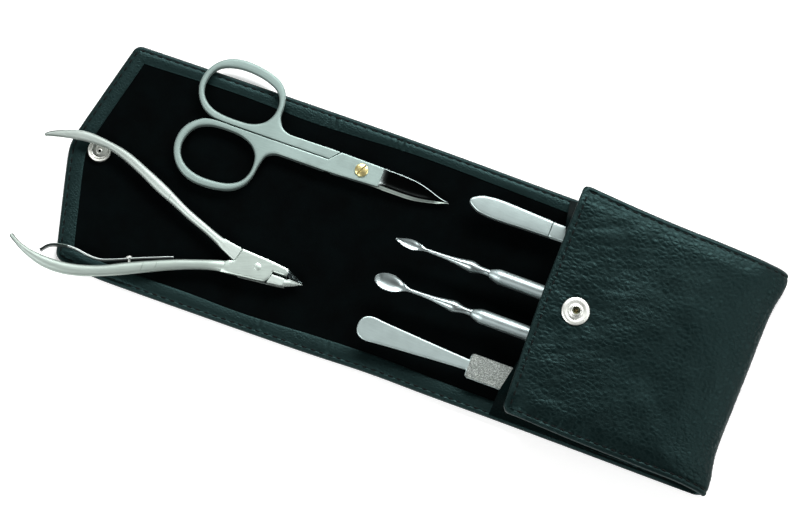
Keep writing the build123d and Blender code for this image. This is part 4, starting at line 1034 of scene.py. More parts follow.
# faces inside the stud's bore get the dark painted shade
well = np.array([(np.hypot(*v[q][:, :2].T).mean() < 1.36) & (v[q][:, 2].mean() > 1.0) for q in f]).astype(int)
mesh("press_stud", placed(v, snap, sx, (0, 1, 0), sz), f, [M_nickel, M_well_shade], "case_back", "nickel", sharp=50, face_mat=well, nodes=("snap_stud",))
# the post's top shows at the bottom of the stud's hole, in the darkened brass of painted shade
post = [(0.001, -2.45), (3.9, -2.45)] + arc(3.9, -2.15, 0.3, -90, 90, 6) + [(0.8, -1.85), (0.8, 1.1), (0.62, 1.28), (0.001, 1.3)]
v, f = lathe(post, 48)
mesh("press_stud_post", placed(v, snap, sx, (0, 1, 0), sz), f, [M_post_shaded], "case_back", "nickel", sharp=50, nodes=("snap_stud_post",), weld=0.002)
zl = 2.3
sock_profile = ([(1.2, zl + 0.02), (3.6, zl + 0.02)] + arc(3.55, zl + 0.35, 0.35, -70, 20, 5) + [(3.9, zl + 0.85)] + arc(3.55, zl + 1.0, 0.33, 10, 120, 6)
                + [(3.3, zl + 1.18), (3.15, zl + 1.14), (3.0, zl + 1.26), (2.9, zl + 1.46)] + arc(2.68, zl + 1.48, 0.22, 30, 170, 6)
                + [(2.45, zl + 1.3), (2.45, zl + 1.1), (2.75, zl + 1.1), (2.75, zl + 0.5), (2.45, zl + 0.5), (2.45, zl + 0.15), (1.2, zl + 0.15), (1.2, zl + 0.02)])
v, f = lathe(sock_profile, 64)
mesh("press_socket", placed(v, (sock[0], sock[1], 0), (1, 0, 0), (0, 1, 0), (0, 0, 1)), f, [M_nickel], "case_flap", "nickel", sharp=50, nodes=("snap_socket",))
cap = [(0.001, 0.0), (3.6, 0.0), (4.4, 0.08), (4.95, 0.28), (5.25, 0.52), (5.3, 0.68), (5.2, 0.84), (1.85, 0.85), (1.85, zl - 0.05), (1.15, zl - 0.05), (1.13, zl + 0.08), (1.05, zl + 0.13), (0.6, zl + 0.12), (0.48, zl + 0.02), (0.42, zl - 0.5), (0.001, zl - 0.55)]
v, f = lathe(cap, 64)
mesh("press_cap", placed(v, (sock[0], sock[1], 0), (1, 0, 0), (0, 1, 0), (0, 0, 1)), f, [M_nickel], "case_flap", "nickel", sharp=40, nodes=("snap_cap",), weld=0.002)
# the ring spring inside the socket: a split ring of wire
a = np.radians(np.linspace(20, 340, 60))
w = np.radians(np.linspace(0, 360, 10, endpoint=False))
ring = np.stack([np.outer(np.cos(a), 2.5 + 0.21 * np.cos(w)), np.outer(np.sin(a), 2.5 + 0.21 * np.cos(w)), np.tile(zl + 0.8 + 0.21 * np.sin(w), (60, 1))], -1)
idx = np.arange(600).reshape(60, 10)
nx = np.roll(idx, -1, axis=1)
f = [list(q) for q in np.stack([idx[:-1], nx[:-1], nx[1:], idx[1:]], -1).reshape(-1, 4)] + [list(idx[0][::-1]), list(idx[-1])]
mesh("press_ring_spring", ring.reshape(-1, 3) + np.array([sock[0], sock[1], 0]), f, [M_spring], "case_flap", "spring_steel", nodes=("snap_ring_spring",))

# ================================================================ scissors
SC = np.array([-0.25, -0.7])
ring_far_outer = [(-50.0, 27.4), (-51.6, 27.55), (-54.2, 28.9), (-56.0, 32.0), (-56.3, 36.0), (-57.2, 40.0), (-59.8, 43.1),
                  (-63.6, 44.8), (-69.0, 45.9), (-74.4, 46.0), (-79.0, 44.7), (-82.5, 41.9), (-84.7, 37.8),
                  (-85.2, 33.8), (-84.0, 29.8), (-81.2, 26.4), (-77.0, 24.55), (-73.0, 24.24), (-70.0, 24.18)]
ring_far_inner = [(-83.2, 33.4), (-82.6, 37.9), (-80.2, 41.0), (-75.6, 42.7), (-70.0, 43.0), (-64.4, 42.0),
                  (-60.2, 40.0), (-58.3, 36.8), (-58.3, 32.4), (-60.4, 28.7), (-64.3, 26.6), (-69.6, 26.1),
                  (-75.1, 26.4), (-79.2, 27.7), (-82.0, 30.2)]
ring_near_outer = [(-70.0, 23.7), (-73.0, 23.74), (-76.8, 23.6), (-80.3, 22.7), (-83.6, 20.2), (-85.6, 16.8), (-86.1, 12.6),
                   (-85.0, 8.4), (-82.6, 5.1), (-79.0, 2.7), (-74.3, 1.7), (-67.7, 2.1), (-62.6, 3.7),
                   (-59.4, 6.6), (-57.9, 10.4), (-57.3, 14.6), (-56.0, 18.2), (-53.6, 19.7), (-51.5, 19.97), (-50.0, 20.0)]
ring_near_inner = [(-83.7, 12.0), (-83.1, 16.0), (-80.9, 19.5), (-77.0, 21.5), (-71.6, 22.1), (-66.2, 21.7),
                   (-61.9, 19.9), (-59.6, 16.8), (-59.2, 11.4), (-60.9, 7.6), (-64.3, 5.3), (-69.3, 4.3),
                   (-75.3, 4.4), (-79.6, 5.9), (-82.4, 8.5)]
Z0, ZT, ZL = 2.8, 6.05, 1.6      # underside, thickness up to, lap


def round_r(x, y):
    """Rings are round in section, shanks flat with softened edges, and square where the halves meet."""
    w = smooth(-x, 50.0, 57.5) * smooth(np.abs(y - 23.9), 0.6, 2.6)
    return 0.22 + 0.68 * w, 0.16 + 0.56 * w


far_blade = np.vstack([curve([(-36.0, 24.2), (-34.8, 20.45), (-30.0, 20.4), (-26.9, 20.5), (-20.3, 20.8), (-12.0, 20.75), (-5.4, 21.0), (0.9, 22.4), (5.8, 23.85)], 0.5),
                       curve([(5.8, 23.85), (0.0, 25.0), (-6.0, 25.6), (-17.0, 26.2), (-20.0, 27.3), (-33.6, 27.5)], 0.5)])
far_loop = np.vstack([curve(ring_far_outer, 0.5), [(-36.5, 24.3)], far_blade, [(-33.6, 27.5), (-33.3, 27.65)]])
far_hole = curve(ring_far_inner, 0.5, True)
step_a, step_b = (-36.52, 24.0), (-33.2, 27.9)


def far_top(x, y, d):
    r, h = round_r(x, y)
    full = ZT - drop(d, r, h)
    lap = Z0 + ZL - 0.95 * (1 - smooth(d, 0.0, 1.15)) * smooth(x, -24, -16) * (1 - 0.9 * smooth(x, 0.5, 4.5)) * (y < 23.6) - 0.12 * (1 - smooth(d, 0, 0.3)) * (1 - smooth(x, 1.0, 4.5))
    lap = lap - smooth(x, -8.0, 6.0) * 0.75
    return np.where(side_of(x, y, step_a, step_b) > 0, full, lap)


def far_bot(x, y, d):
    r, h = round_r(x, y)
    return Z0 + drop(d, r, h) + smooth(x, -8.0, 6.0) * 0.35


v, f, m_ = plate([far_loop, far_hole], far_top, far_bot, features=[[step_a, step_b]])
# the far blade's lower bevel takes the brighter nippers' steel, a lit copy of the satin steel as painted highlight
fm = (m_[:, 0] > -34.0) & (m_[:, 2] < 4.45) & (m_[:, 0] > -22)
scissors_far = mesh("scissors_far_half_body", v + [*SC, 0], f, [M_satin, M_satin_n], "scissors_far", "satin_steel",
                    face_mat=fm.astype(int), nodes=("scissors_far_half",))

near_blade = np.vstack([[(-50.0, 20.0), (-36.4, 20.0)], curve([(-34.9, 20.05), (-30.0, 20.2), (-26.9, 20.4), (-20.3, 20.72), (-18.05, 20.8)], 0.5), [(-17.5, 21.55)],
                        curve([(-17.3, 21.6), (-11.0, 21.55), (-5.2, 21.8), (0.5, 22.75), (6.0, 23.9)], 0.5),
                        curve([(6.0, 23.9), (2.5, 24.55), (-2.0, 26.0), (-6.3, 26.95), (-11.0, 27.3), (-16.5, 27.35)], 0.5),
                        [(-33.0, 27.6), (-36.35, 24.05), (-37.0, 23.92)]])
near_loop = np.vstack([curve(ring_near_outer, 0.5), near_blade])
near_hole = curve(ring_near_inner, 0.5, True)


def near_top(x, y, d):
    r, h = round_r(x, y)
    full = ZT - drop(d, r, h)
    edge = side_of(x, y, (-17.75, 27.6), (-18.15, 20.5))       # positive towards the blade
    hollow = 5.80 - 0.055 * (x + 17.8) * (x > -17.8) - 0.16 * smooth(d, 0.35, 1.5) * (1 - smooth(x, -3.0, 2.0)) - 0.03 * (1 - smooth(d, 0.0, 0.2))
    return np.where(edge > 0, hollow, full)


def near_bot(x, y, d):
    r, h = round_r(x, y)
    low = Z0 + drop(d, r, h)
    return np.where(x > -36.42, 4.46 - 0.0 * x, low)


v, f, m_ = plate([near_loop, near_hole], near_top, near_bot,
                 features=[[(-36.42, 19.0), (-36.42, 25.0)], [(-17.75, 27.6), (-18.15, 20.5)]])
fm = (m_[:, 0] > -18.0).astype(int)
edge_line = (fm == 1) & (distance(m_[:, :2], [near_loop]) < 0.19) & (m_[:, 1] > 23.95)
fm[edge_line] = 2
scissors_near = mesh("scissors_near_half_body", v + [*SC, 0], f, [M_satin, M_blade, M_satin_p], "scissors", "satin_steel",
                     face_mat=fm, nodes=("scissors_near_half",))

# the screw, with its slot cut by lowering the points that lie along it
head = [(0.001, 2.9), (1.2, 2.9), (1.2, 6.02), (2.05, 6.06), (2.18, 6.15), (2.18, 6.38), (2.05, 6.56), (1.9, 6.72), (1.5, 6.84), (1.0, 6.93), (0.5, 6.98), (0.001, 7.0)]
sq = []
cxy = (-24.8 + SC[0], 24.2 + SC[1])
ang_s = math.radians(65)
ca_s, sa_s = math.cos(ang_s), math.sin(ang_s)
circle = [(2.18 * math.cos(t), 2.18 * math.sin(t)) for t in np.linspace(0, 2 * math.pi, 64, endpoint=False)]


def screw_top(x, y, d):
    dome = 6.42 + 0.56 * np.sqrt(np.clip(1 - ((2.18 - np.minimum(d, 2.18)) / 2.26) ** 2, 0, 1))
    across = np.abs(-sa_s * x + ca_s * y)
    return np.where(across < 0.31, 6.38, dome)


v, f, m_ = plate([np.array(circle)], screw_top, lambda x, y, d: 6.05 + 0 * x,
                 features=[[(-3 * ca_s - sa_s * 0.31, -3 * sa_s + ca_s * 0.31), (3 * ca_s - sa_s * 0.31, 3 * sa_s + ca_s * 0.31)],
                           [(-3 * ca_s + sa_s * 0.31, -3 * sa_s - ca_s * 0.31), (3 * ca_s + sa_s * 0.31, 3 * sa_s - ca_s * 0.31)]],
                 ds=0.25, rims=(0.05, 0.15, 0.3, 0.5), grid=0.3)
shaft_v, shaft_f = lathe([(0.001, 2.9), (1.2, 2.9), (1.2, 6.06), (0.001, 6.06)], 32)
vv, ff = join([(v, f), (shaft_v, shaft_f)])
mesh("scissors_screw_head", vv + [*cxy, 0], ff, [M_brass], "scissors", "brass", nodes=("scissors_screw",), weld=0.002)

# ================================================================ nippers
NI = np.array([-0.3, -0.7])
H0, H1, P0, P1, J0 = 4.25, 7.05, 4.92, 7.2, 2.8       # handle, top plate, jaws
near_in = [(-53.8, -18.9), (-59.5, -20.5), (-65.8, -22.6), (-72.0, -24.8), (-79.9, -28.1), (-87.1, -31.4),
           (-93.7, -34.7), (-99.9, -36.9), (-106.4, -38.2), (-112.6, -38.4), (-117.7, -37.9), (-121.5, -37.0),
           (-126.0, -35.1)]
near_out = [(-126.2, -35.5), (-122.4, -38.4), (-118.2, -40.4), (-112.8, -41.9), (-106.4, -42.1), (-99.9, -40.8),
            (-92.4, -38.1), (-85.2, -34.9), (-78.0, -31.4), (-72.0, -28.6), (-64.7, -25.7), (-59.0, -24.0),
            (-53.5, -23.3)]
far_out = [(-52.4, -14.1), (-59.5, -12.8), (-66.8, -10.2), (-74.1, -7.3), (-83.5, -2.6), (-91.0, 0.6),
           (-99.1, 3.7), (-106.7, 5.1), (-113.1, 5.6), (-117.8, 5.0), (-121.5, 3.6), (-125.7, 1.6), (-127.3, 0.1)]
far_in = [(-127.2, -0.45), (-123.3, 0.6), (-118.7, 1.6), (-114.0, 2.3), (-109.3, 2.6), (-104.9, 2.3),
          (-99.5, 0.7), (-92.8, -2.1), (-86.1, -5.3), (-78.7, -8.2), (-72.9, -10.7), (-64.8, -13.7),
          (-58.5, -16.6), (-53.8, -18.7)]
def handle(inner, outer, tip, marks, body):
    """A handle swept from its tip to its root between its two edges, oval in section."""
    a, b = curve(inner, 0.2), curve(outer, 0.2)
    t = np.linspace(0, 1, 220)
    for m_ in marks:
        t = np.concatenate([t, m_ + np.array([-0.0026, -0.0013, 0.0, 0.0013, 0.0026])])
    t = np.unique(np.round(t, 6))

    def at(c_):
        q_ = np.concatenate([[0], np.cumsum(np.linalg.norm(np.diff(c_, axis=0), axis=1))])
        return np.stack([np.interp(t * q_[-1], q_, c_[:, k]) for k in (0, 1)], 1), q_[-1]

    (pa, la), (pb, lb) = at(a), at(b)
    mid_, arm = (pa + pb) / 2, (pb - pa) / 2
    s_ = t * (la + lb) / 2
    wide_ = np.linalg.norm(arm, axis=1)
    unit = np.gradient(mid_, axis=0)
    unit = np.stack([-unit[:, 1], unit[:, 0]], 1)
    unit /= np.linalg.norm(unit, axis=1)[:, None]
    unit *= np.sign((unit * arm).sum(1))[:, None]
    full = np.maximum(wide_, tip)
    full = full * np.sqrt(np.clip(1 - (1 - np.clip(s_ / tip, 0.004, 1)) ** 2, 0, 1))
    ease = (1 - smooth(s_, 2.0, 9.0))[:, None]
    direction = unit * ease + (arm / np.maximum(wide_, 1e-6)[:, None]) * (1 - ease)
    q = np.sin(np.linspace(-1, 1, 25) * math.pi / 2)
    plan = mid_[:, None, :] + direction[:, None, :] * (full[:, None] * q[None, :])[:, :, None]
    round_ = 1 - (1 - np.abs(q) ** 2.3) ** 0.5
    thin = 0.7 * smooth(-mid_[:, 0], 112.0, 127.0)
    cut = np.zeros_like(t)
    for m_ in marks:
        cut = np.maximum(cut, 0.16 * (np.abs(t - m_) < 0.001))
    top = H1 - thin[:, None] - 1.22 * round_[None, :] - cut[:, None] * (1 - 0.6 * q[None, :] ** 2)
    bot = H0 + thin[:, None] + 1.22 * round_[None, :]
    vv_, ff_ = shell(np.concatenate([plan, top[..., None]], -1), np.concatenate([plan, bot[..., None]], -1))
    return vv_, [list(f_) for f_ in ff_]


near_handle = handle(near_in[::-1], near_out, 0.72, (0.615, 0.675), None)
far_handle = handle(far_in, far_out[::-1], 0.5, (0.62,), None)
near_loop = np.vstack([[(-29.9, -18.12), (-32.8, -16.75), (-35.8, -15.5), (-41.25, -14.87), (-44.1, -14.7), (-52.25, -14.15), (-53.55, -18.55)],
                       [(-53.8, -18.9), (-55.4, -19.3), (-56.6, -20.0), (-57.3, -21.2), (-57.3, -22.5), (-56.7, -23.72), (-53.5, -23.3)], [(-52.3, -23.2), (-44.8, -22.4), (-42.0, -21.95), (-40.95, -20.6),
                                                                    (-40.55, -18.9), (-40.5, -17.95), (-35.1, -17.75), (-34.6, -18.12)]])
far_loop = np.vstack([[(-29.9, -18.38), (-34.6, -18.38), (-35.2, -18.9), (-40.2, -18.93), (-40.9, -17.9), (-41.8, -15.1), (-44.1, -14.7)],
                      [(-52.4, -14.1), (-56.4, -13.5), (-59.0, -13.0), (-60.4, -13.3), (-61.0, -14.2), (-60.6, -15.4), (-58.5, -16.6), (-53.8, -18.7)], [(-53.4, -18.8), (-51.0, -23.0), (-44.8, -22.35), (-41.25, -22.0), (-35.4, -21.3), (-33.0, -20.2)]])


def jaw_top(x, y, d, seam):
    """Jaws slope down to their cutting edge."""
    fall = smooth(x, -36.2, -30.2) * 1.9
    side = 0.55 * (1 - smooth(d, 0.0, 0.9)) * smooth(x, -36.4, -35.2)
    return P1 - 0.14 * (1 - smooth(d, 0, 0.3)) - fall - side


def nn_top(x, y, d):
    plate_z = P1 - 0.16 * (1 - smooth(d, 0.0, 0.32)) - 0.55 * smooth(-x, 53.6, 58.5) * (1 - smooth(d, 0, 1.6))
    return np.where(x > -36.0, jaw_top(x, y, d, 0), plate_z)


def nn_bot(x, y, d):
    jaw = J0 + smooth(x, -36.2, -30.2) * 2.0 + 0.3 * (1 - smooth(d, 0, 0.5))
    beyond = side_of(x, y, (-40.32, -17.6), (-41.3, -14.6))
    mid_z = np.where(x < -54.6, H0 + 0.5 + drop(d, 1.2, 0.9), P0 + 0.04)
    return np.where((beyond < 0) & (y > -18.5), jaw, mid_z)


v, f, m_ = plate([near_loop], nn_top, nn_bot, features=[[(-40.32, -17.6), (-41.3, -14.6)], [(-36.0, -15.3), (-35.2, -17.9)], [(-54.6, -18.0), (-54.6, -24.0)]],
                 rims=(0.06, 0.22, 0.5, 0.85, 1.25, 1.6))
# the jaws' top faces get the dark painted reflection
fm = np.where((m_[:, 0] > -35.6) & (m_[:, 2] > 4.4), 1, 0)
vv, ff = join([(v, f), near_handle])
fm = np.concatenate([fm, np.zeros(len(near_handle[1]), int)])
nip_near = mesh("nippers_near_half_body", vv + [*NI, 0], ff, [M_satin_n, M_jaw_dark_reflection], "nippers_near", "satin_steel",
                face_mat=fm, nodes=("nippers_near_half",))


def nf_top(x, y, d):
    flat_z = P1 - 0.02 - 0.16 * (1 - smooth(d, 0.0, 0.32)) - 0.55 * smooth(-x, 57.0, 62.0) * (1 - smooth(d, 0, 1.6))
    low = 4.86 + 0 * x
    jaw = jaw_top(x, y, d, 0)
    past_seam = side_of(x, y, (-52.3, -13.6), (-53.75, -19.2))      # positive on the plate's side
    past_jaw = side_of(x, y, (-40.25, -18.6), (-41.3, -22.4))       # positive on the jaw's side
    under = (y > -18.6) & (past_seam > 0) & (past_jaw > 0) & (x < -35.3)
    z = np.where(past_seam > 0, low, flat_z)
    z = np.where(past_jaw > 0, np.where(x > -36.0, jaw, P1 - 0.14 * (1 - smooth(d, 0, 0.3))), z)
    return np.where(under, low, z)


def nf_bot(x, y, d):
    jaw = J0 + smooth(x, -36.2, -30.2) * 2.0 + 0.3 * (1 - smooth(d, 0, 0.5)) * (x > -36.2)
    return np.where(x < -54.6, H0 + 0.5 + drop(d, 1.2, 0.9), jaw)


v, f, m_ = plate([far_loop], nf_top, nf_bot, features=[[(-52.3, -13.6), (-53.75, -19.2)], [(-40.25, -18.6), (-41.3, -22.4)], [(-36.0, -18.5), (-36.0, -22.0)], [(-54.6, -13.0), (-54.6, -19.4)]],
                 rims=(0.06, 0.22, 0.5, 0.85, 1.25, 1.6))
# the lap faces at the seam get the near-black painted shade
fm = np.where((m_[:, 2] > 4.8) & (m_[:, 2] < 4.9) & (m_[:, 0] > -54.0), 1, 0)
vv, ff = join([(v, f), far_handle])
fm = np.concatenate([fm, np.zeros(len(far_handle[1]), int)])
# the far half is in the darker copy of the nippers' steel, painted shade
nip_far = mesh("nippers_far_half_body", vv + [*NI, 0], ff, [M_satin_f_shaded, M_gap_shade], "nippers", "satin_steel",
               face_mat=fm, nodes=("nippers_far_half",))
v, f = lathe([(0.001, 2.82), (1.4, 2.82), (1.55, 2.95), (1.58, 3.2), (1.58, 6.95), (1.5, 7.1), (1.32, 7.2), (0.001, 7.22)], 48)
mesh("nippers_rivet_pin", v + [-45.8 + NI[0], -18.2 + NI[1], 0], f, [M_satin_n], "nippers", "satin_steel", nodes=("nippers_rivet",), weld=0.002)

# leaf spring: one bent strip, curled at its free end
spring_pts = curve([(-115.3, -36.9), (-112.9, -34.2), (-108.4, -32.7), (-103.8, -32.6), (-99.5, -33.2), (-95.5, -33.2),
                    (-91.0, -31.7), (-86.2, -29.6), (-79.6, -26.9), (-72.9, -24.2)], 0.5)
tg = np.gradient(spring_pts, axis=0)
tg /= np.linalg.norm(tg, axis=1)[:, None]
inn = spring_pts + np.stack([tg[:, 1], -tg[:, 0]], 1) * (0.52 + 0.3 * smooth(-spring_pts[:, 0], 104.0, 109.0))[:, None]
loop = np.vstack([spring_pts, inn[::-1]])
v, f, m_ = plate([loop], lambda x, y, d: 6.92 - 0.08 * (1 - smooth(d, 0, 0.12)), lambda x, y, d: 4.38 + 0.08 * (1 - smooth(d, 0, 0.12)),
                 ds=0.6, rims=(0.1,), grid=3.0)
mesh("nippers_leaf_spring_strip", v + [*NI, 0], f, [M_spring, M_curl], "nippers_near", "spring_steel", face_mat=(m_[:, 0] < -107.0).astype(int),
     nodes=("nippers_leaf_spring",))
ax = np.array([-0.432, 0.902, 0.0])
v, f = lathe([(0.001, -2.35), (0.48, -2.35), (0.48, 0.3), (0.98, 0.34), (1.02, 0.5), (0.95, 0.85), (0.7, 1.02), (0.3, 1.08), (0.001, 1.08)], 32)
mesh("nippers_spring_screw_head", placed(v, (-86.4 + NI[0], -29.95 + NI[1], 2.8 + 1.45 + 1.4), (0.902, 0.432, 0), (0, 0, 1), ax), f, [M_nickel],
     "nippers_near", "polished_steel", nodes=("nippers_spring_screw",), weld=0.002)

# ================================================================ pocketed tools
pitch = math.radians(2.75)
cp, sp = math.cos(pitch), math.sin(pitch)


def tool(v, y0):
    """Along the tool from x = 47, across it, up from its underside -> the row frame."""
    v = np.asarray(v, float)
    return np.stack([47.0 + v[:, 0] * cp + v[:, 2] * sp, y0 + v[:, 1], 5.9 - v[:, 0] * sp + v[:, 2] * cp], -1)


# ---- tweezers
end = curve([(-6.9, 2.72), (-11.5, 2.95), (-16.8, 3.2), (-22.0, 3.42), (-26.0, 3.45), (-29.0, 3.2), (-31.4, 2.75), (-33.4, 1.75), (-34.7, 0.75), (-35.0, 0.0),
             (-34.7, -0.75), (-33.4, -1.75), (-31.4, -2.7), (-29.0, -3.05), (-26.0, -3.25), (-22.0, -3.2), (-16.8, -3.0), (-11.5, -2.85), (-6.9, -2.72)], 0.5)
loop = np.vstack([end, [(28, -2.2), (47, -1.6), (50.6, -1.2), (50.8, 0), (50.6, 1.2), (47, 1.6), (28, 2.2)]])


def tw_top(x, y, d):
    thick_end = 2.6 - drop(d, 0.55, 0.4) + 0.10 * (1 - (y / 3.5) ** 2)
    return np.where(x > -6.88, 1.3 - drop(d, 0.3, 0.25), thick_end)


v, f, m_ = plate([loop], tw_top, lambda x, y, d: drop(d, 0.45, 0.35), features=[[(-6.88, 4), (-6.88, -4)]])
mesh("tweezers_lower_arm_body", tool(v, 25.6), f, [M_satin_p], "tweezers", "satin_steel", nodes=("tweezers_lower_arm",))
to_, ts_ = math.cos(math.radians(2.3)), math.sin(math.radians(2.3))
loop = np.array([(0.0, 2.6), (34.9, 2.15), (53.9, 1.6), (57.3, 1.2), (57.5, 0), (57.3, -1.2), (53.9, -1.6), (34.9, -2.15), (0.0, -2.6)])
v, f, m_ = plate([loop], lambda x, y, d: 1.15 - drop(d, 0.5, 0.4) + 0.08 * (1 - (y / 2.7) ** 2), lambda x, y, d: drop(d, 0.3, 0.25))
v = np.stack([-6.78 + v[:, 0] * to_ - v[:, 2] * ts_, v[:, 1], 1.42 + v[:, 0] * ts_ + v[:, 2] * to_], -1)
mesh("tweezers_upper_arm_body", tool(v, 25.6), f, [M_satin_p], "tweezers_top", "satin_steel", nodes=("tweezers_upper_arm",))


# ---- tube handles, turned shafts and spoons
def tube(x0, bevel):
    r = 2.45
    pr = [(0.9, -12.0 + (x0 + 21)), (0.9, x0), (1.22, x0), (1.38, x0 + 0.25), (1.62, x0 + 0.8), (1.98, x0 + 1.7), (2.26, x0 + 2.6), (2.35, x0 + 2.95), (2.34, x0 + 3.05),
          (2.42, x0 + 3.3), (r, x0 + 4.0), (r, 10.0), (r, 30.0), (r, 52.4), (2.3, 53.0), (1.9, 53.6), (1.3, 53.85), (0.001, 53.9)]
    vv_, ff_ = lathe(pr, 64)
    # a lathe's axis is z: lay it along the tool
    return np.stack([vv_[:, 2], vv_[:, 0], vv_[:, 1] + 2.45], -1), ff_


def radius_of(x, prof):
    p_ = np.array(prof, float)
    return lerp_at(x, p_)


for name, y0, x0, body, nodes_h, prof, spoon_half, zc in (
    ("nail_cleaner", 4.7, -20.6, "nail_cleaner", ("nail_cleaner_handle",),
     [(-46, 0.45), (-44.0, 0.5), (-41.5, 0.6), (-37.5, 0.72), (-34.0, 0.95), (-31.0, 1.35), (-29.3, 1.62), (-27.6, 1.92), (-26.6, 1.98), (-25.6, 1.75), (-24.0, 1.3), (-22.6, 1.12), (-20.7, 1.2)],
     [(-53.5, 0.0), (-53.3, 0.22), (-52.2, 0.62), (-50.6, 1.15), (-49.0, 1.52), (-47.6, 1.62), (-46.2, 1.45), (-44.6, 0.98), (-43.2, 0.65), (-42.0, 0.58)], 2.45),
    ("cuticle_pusher", -9.8, -21.6, "cuticle_pusher", ("cuticle_pusher_handle",),
     [(-47, 0.45), (-45.2, 0.5), (-42.5, 0.6), (-38.5, 0.72), (-35.0, 0.95), (-32.0, 1.35), (-30.3, 1.62), (-28.6, 1.92), (-27.6, 1.98), (-26.6, 1.75), (-25.0, 1.3), (-23.6, 1.12), (-21.7, 1.2)],
     [(-55.4, 0.0), (-55.3, 0.62), (-54.9, 1.2), (-54.0, 1.95), (-52.8, 2.5), (-51.2, 2.85), (-49.5, 2.82), (-47.8, 2.35), (-46.2, 1.65), (-44.8, 1.0), (-43.6, 0.68), (-42.4, 0.6)], 2.45),
):
    v, f = tube(x0, 0)
    mesh(name + "_tube", tool(v, y0), f, [M_tube], body, "polished_steel", nodes=nodes_h, weld=0.002)
    sx_ = np.array(spoon_half)[:, 0]
    x_end = sx_[-1]
    xs = np.concatenate([np.array(spoon_half), [(x, float(radius_of(x, prof))) for x in np.arange(x_end + 0.8, x0 - 0.05, 0.8)], [(x0 - 0.02, float(radius_of(x0 - 0.02, prof)))]])
    upper = curve(xs, 0.35)
    loop = np.vstack([upper, [(x0 - 0.02, 0.86), (-12.6 + (x0 + 21), 0.86), (-12.6 + (x0 + 21), -0.86), (x0 - 0.02, -0.86)], (upper * [1, -1])[::-1][:-1]])
    x_lo, x_hi = sx_[0], x_end
    wide = max(np.array(spoon_half)[:, 1])

    def half_width(x, up=upper, x0=x0):
        o = np.argsort(up[:, 0])
        return np.where(x > x0 - 0.01, 0.86, np.interp(x, up[o, 0], up[o, 1]))

    def tip_top(x, y, d, hw=half_width, lo=x_lo, hi=x_hi, wide=wide):
        w = np.maximum(hw(x), 0.05)
        q = np.clip(np.abs(y) / w, 0, 1)
        round_z = w * np.sqrt(np.clip(1 - q * q, 0, 1))
        s = smooth(x, hi - 3.4, hi + 0.6)                       # 0 in the spoon, 1 on the shaft
        bowl = 0.42 - (0.62 if wide > 2 else 0.5) * (1 - q * q) * smooth(x, lo - 0.2, lo + 2.4) * (1 - smooth(x, hi - 5.0, hi - 2.0)) - 0.08 * (1 - smooth(d, 0, 0.15))
        return 2.45 + bowl * (1 - s) + round_z * s

    def tip_bot(x, y, d, hw=half_width, lo=x_lo, hi=x_hi, wide=wide):
        w = np.maximum(hw(x), 0.05)
        q = np.clip(np.abs(y) / w, 0, 1)
        round_z = w * np.sqrt(np.clip(1 - q * q, 0, 1))
        s = smooth(x, hi - 3.4, hi + 0.6)
        belly_ = 0.30 - (0.80 if wide > 2 else 0.72) * np.sqrt(np.clip(1 - q * q, 0, 1)) * smooth(x, lo - 0.4, lo + 3.0)
        return 2.45 + belly_ * (1 - s) - round_z * s

    v, f, m_ = plate([loop], tip_top, tip_bot, ds=0.35, rims=(0.05, 0.14, 0.28, 0.5, 0.8, 1.2, 1.7), grid=0.7)
    tip = mesh(name + "_tip_body", tool(v, y0), f, [M_polish], body, "polished_steel", nodes=(name + "_tip",), sharp=50)

# ---- nail file
th = np.linspace(math.radians(100), math.radians(260), 22)
paddle = [(-17.0, 1.7)] + [(-26.0, 2.3), (-36.0, 2.98), (-44.0, 3.52), (-48.2, 3.85)]
arc_pts = curve([(-48.2, 3.85), (-50.6, 4.12), (-52.6, 3.95), (-54.2, 3.1), (-55.15, 1.6), (-55.4, 0.0), (-55.15, -1.6), (-54.2, -3.1), (-52.6, -3.95), (-50.6, -4.12), (-48.2, -3.85)], 0.4)
loop = np.vstack([[(60.2, 0), (59.5, 2.6), (58.0, 4.2), (-16.0, 4.2), (-16.9, 3.5), (-17.0, 1.75)], paddle[1:-1], arc_pts,
                  [(x, -y) for x, y in paddle[1:-1][::-1]], [(-17.0, -1.75), (-16.9, -3.5), (-16.0, -4.2), (58.0, -4.2), (59.5, -2.6)]])
v, f, m_ = plate([loop], lambda x, y, d: 1.45 - drop(d, 0.35, 0.3), lambda x, y, d: 0.25 + drop(d, 0.35, 0.3))
mesh("nail_file_blade", tool(v, -26.2), f, [M_satin_p], "nail_file", "satin_steel", nodes=("nail_file_strip",))
# the abrasive: a layer of grains on each face, cut from a fine grid
nxg, nyg = 330, 38
gxx, gyy = np.meshgrid(np.linspace(-16.7, 57.7, nxg), np.linspace(-4.1, 4.1, nyg), indexing="ij")
ex = np.minimum(np.minimum(gxx + 16.75, 57.75 - gxx), np.minimum(gyy + 4.15, 4.15 - gyy))
cr = 0.9
ax_, ay_ = cr - np.minimum(gxx + 16.7, 57.7 - gxx), cr - np.minimum(gyy + 4.1, 4.1 - gyy)
cc_ = (ax_ > 0) & (ay_ > 0)
k_ = np.where(cc_, np.maximum(ax_, ay_) / np.maximum(np.hypot(ax_, ay_), 1e-9), 1)
gx3 = gxx + np.where(cc_, (ax_ - ax_ * k_) * np.where(gxx < 20, 1, -1), 0)
gy3 = gyy + np.where(cc_, (ay_ - ay_ * k_) * np.where(gyy < 0, 1, -1), 0)
parts = []
for base, up in ((1.44, 1), (0.26, -1)):
    grain = rng.uniform(0, 1, gxx.shape) ** 1.6 * 0.13
    h = (0.16 + grain) * smooth(ex, -0.02, 0.25)
    outer_ = np.stack([gx3, gy3, base + up * h], -1)
    inner_ = np.stack([gx3, gy3, np.full_like(gxx, base - up * 0.02)], -1)
    v, f = shell(outer_, inner_) if up > 0 else shell(inner_, outer_)
    parts.append((v, f))
v, f = join(parts)
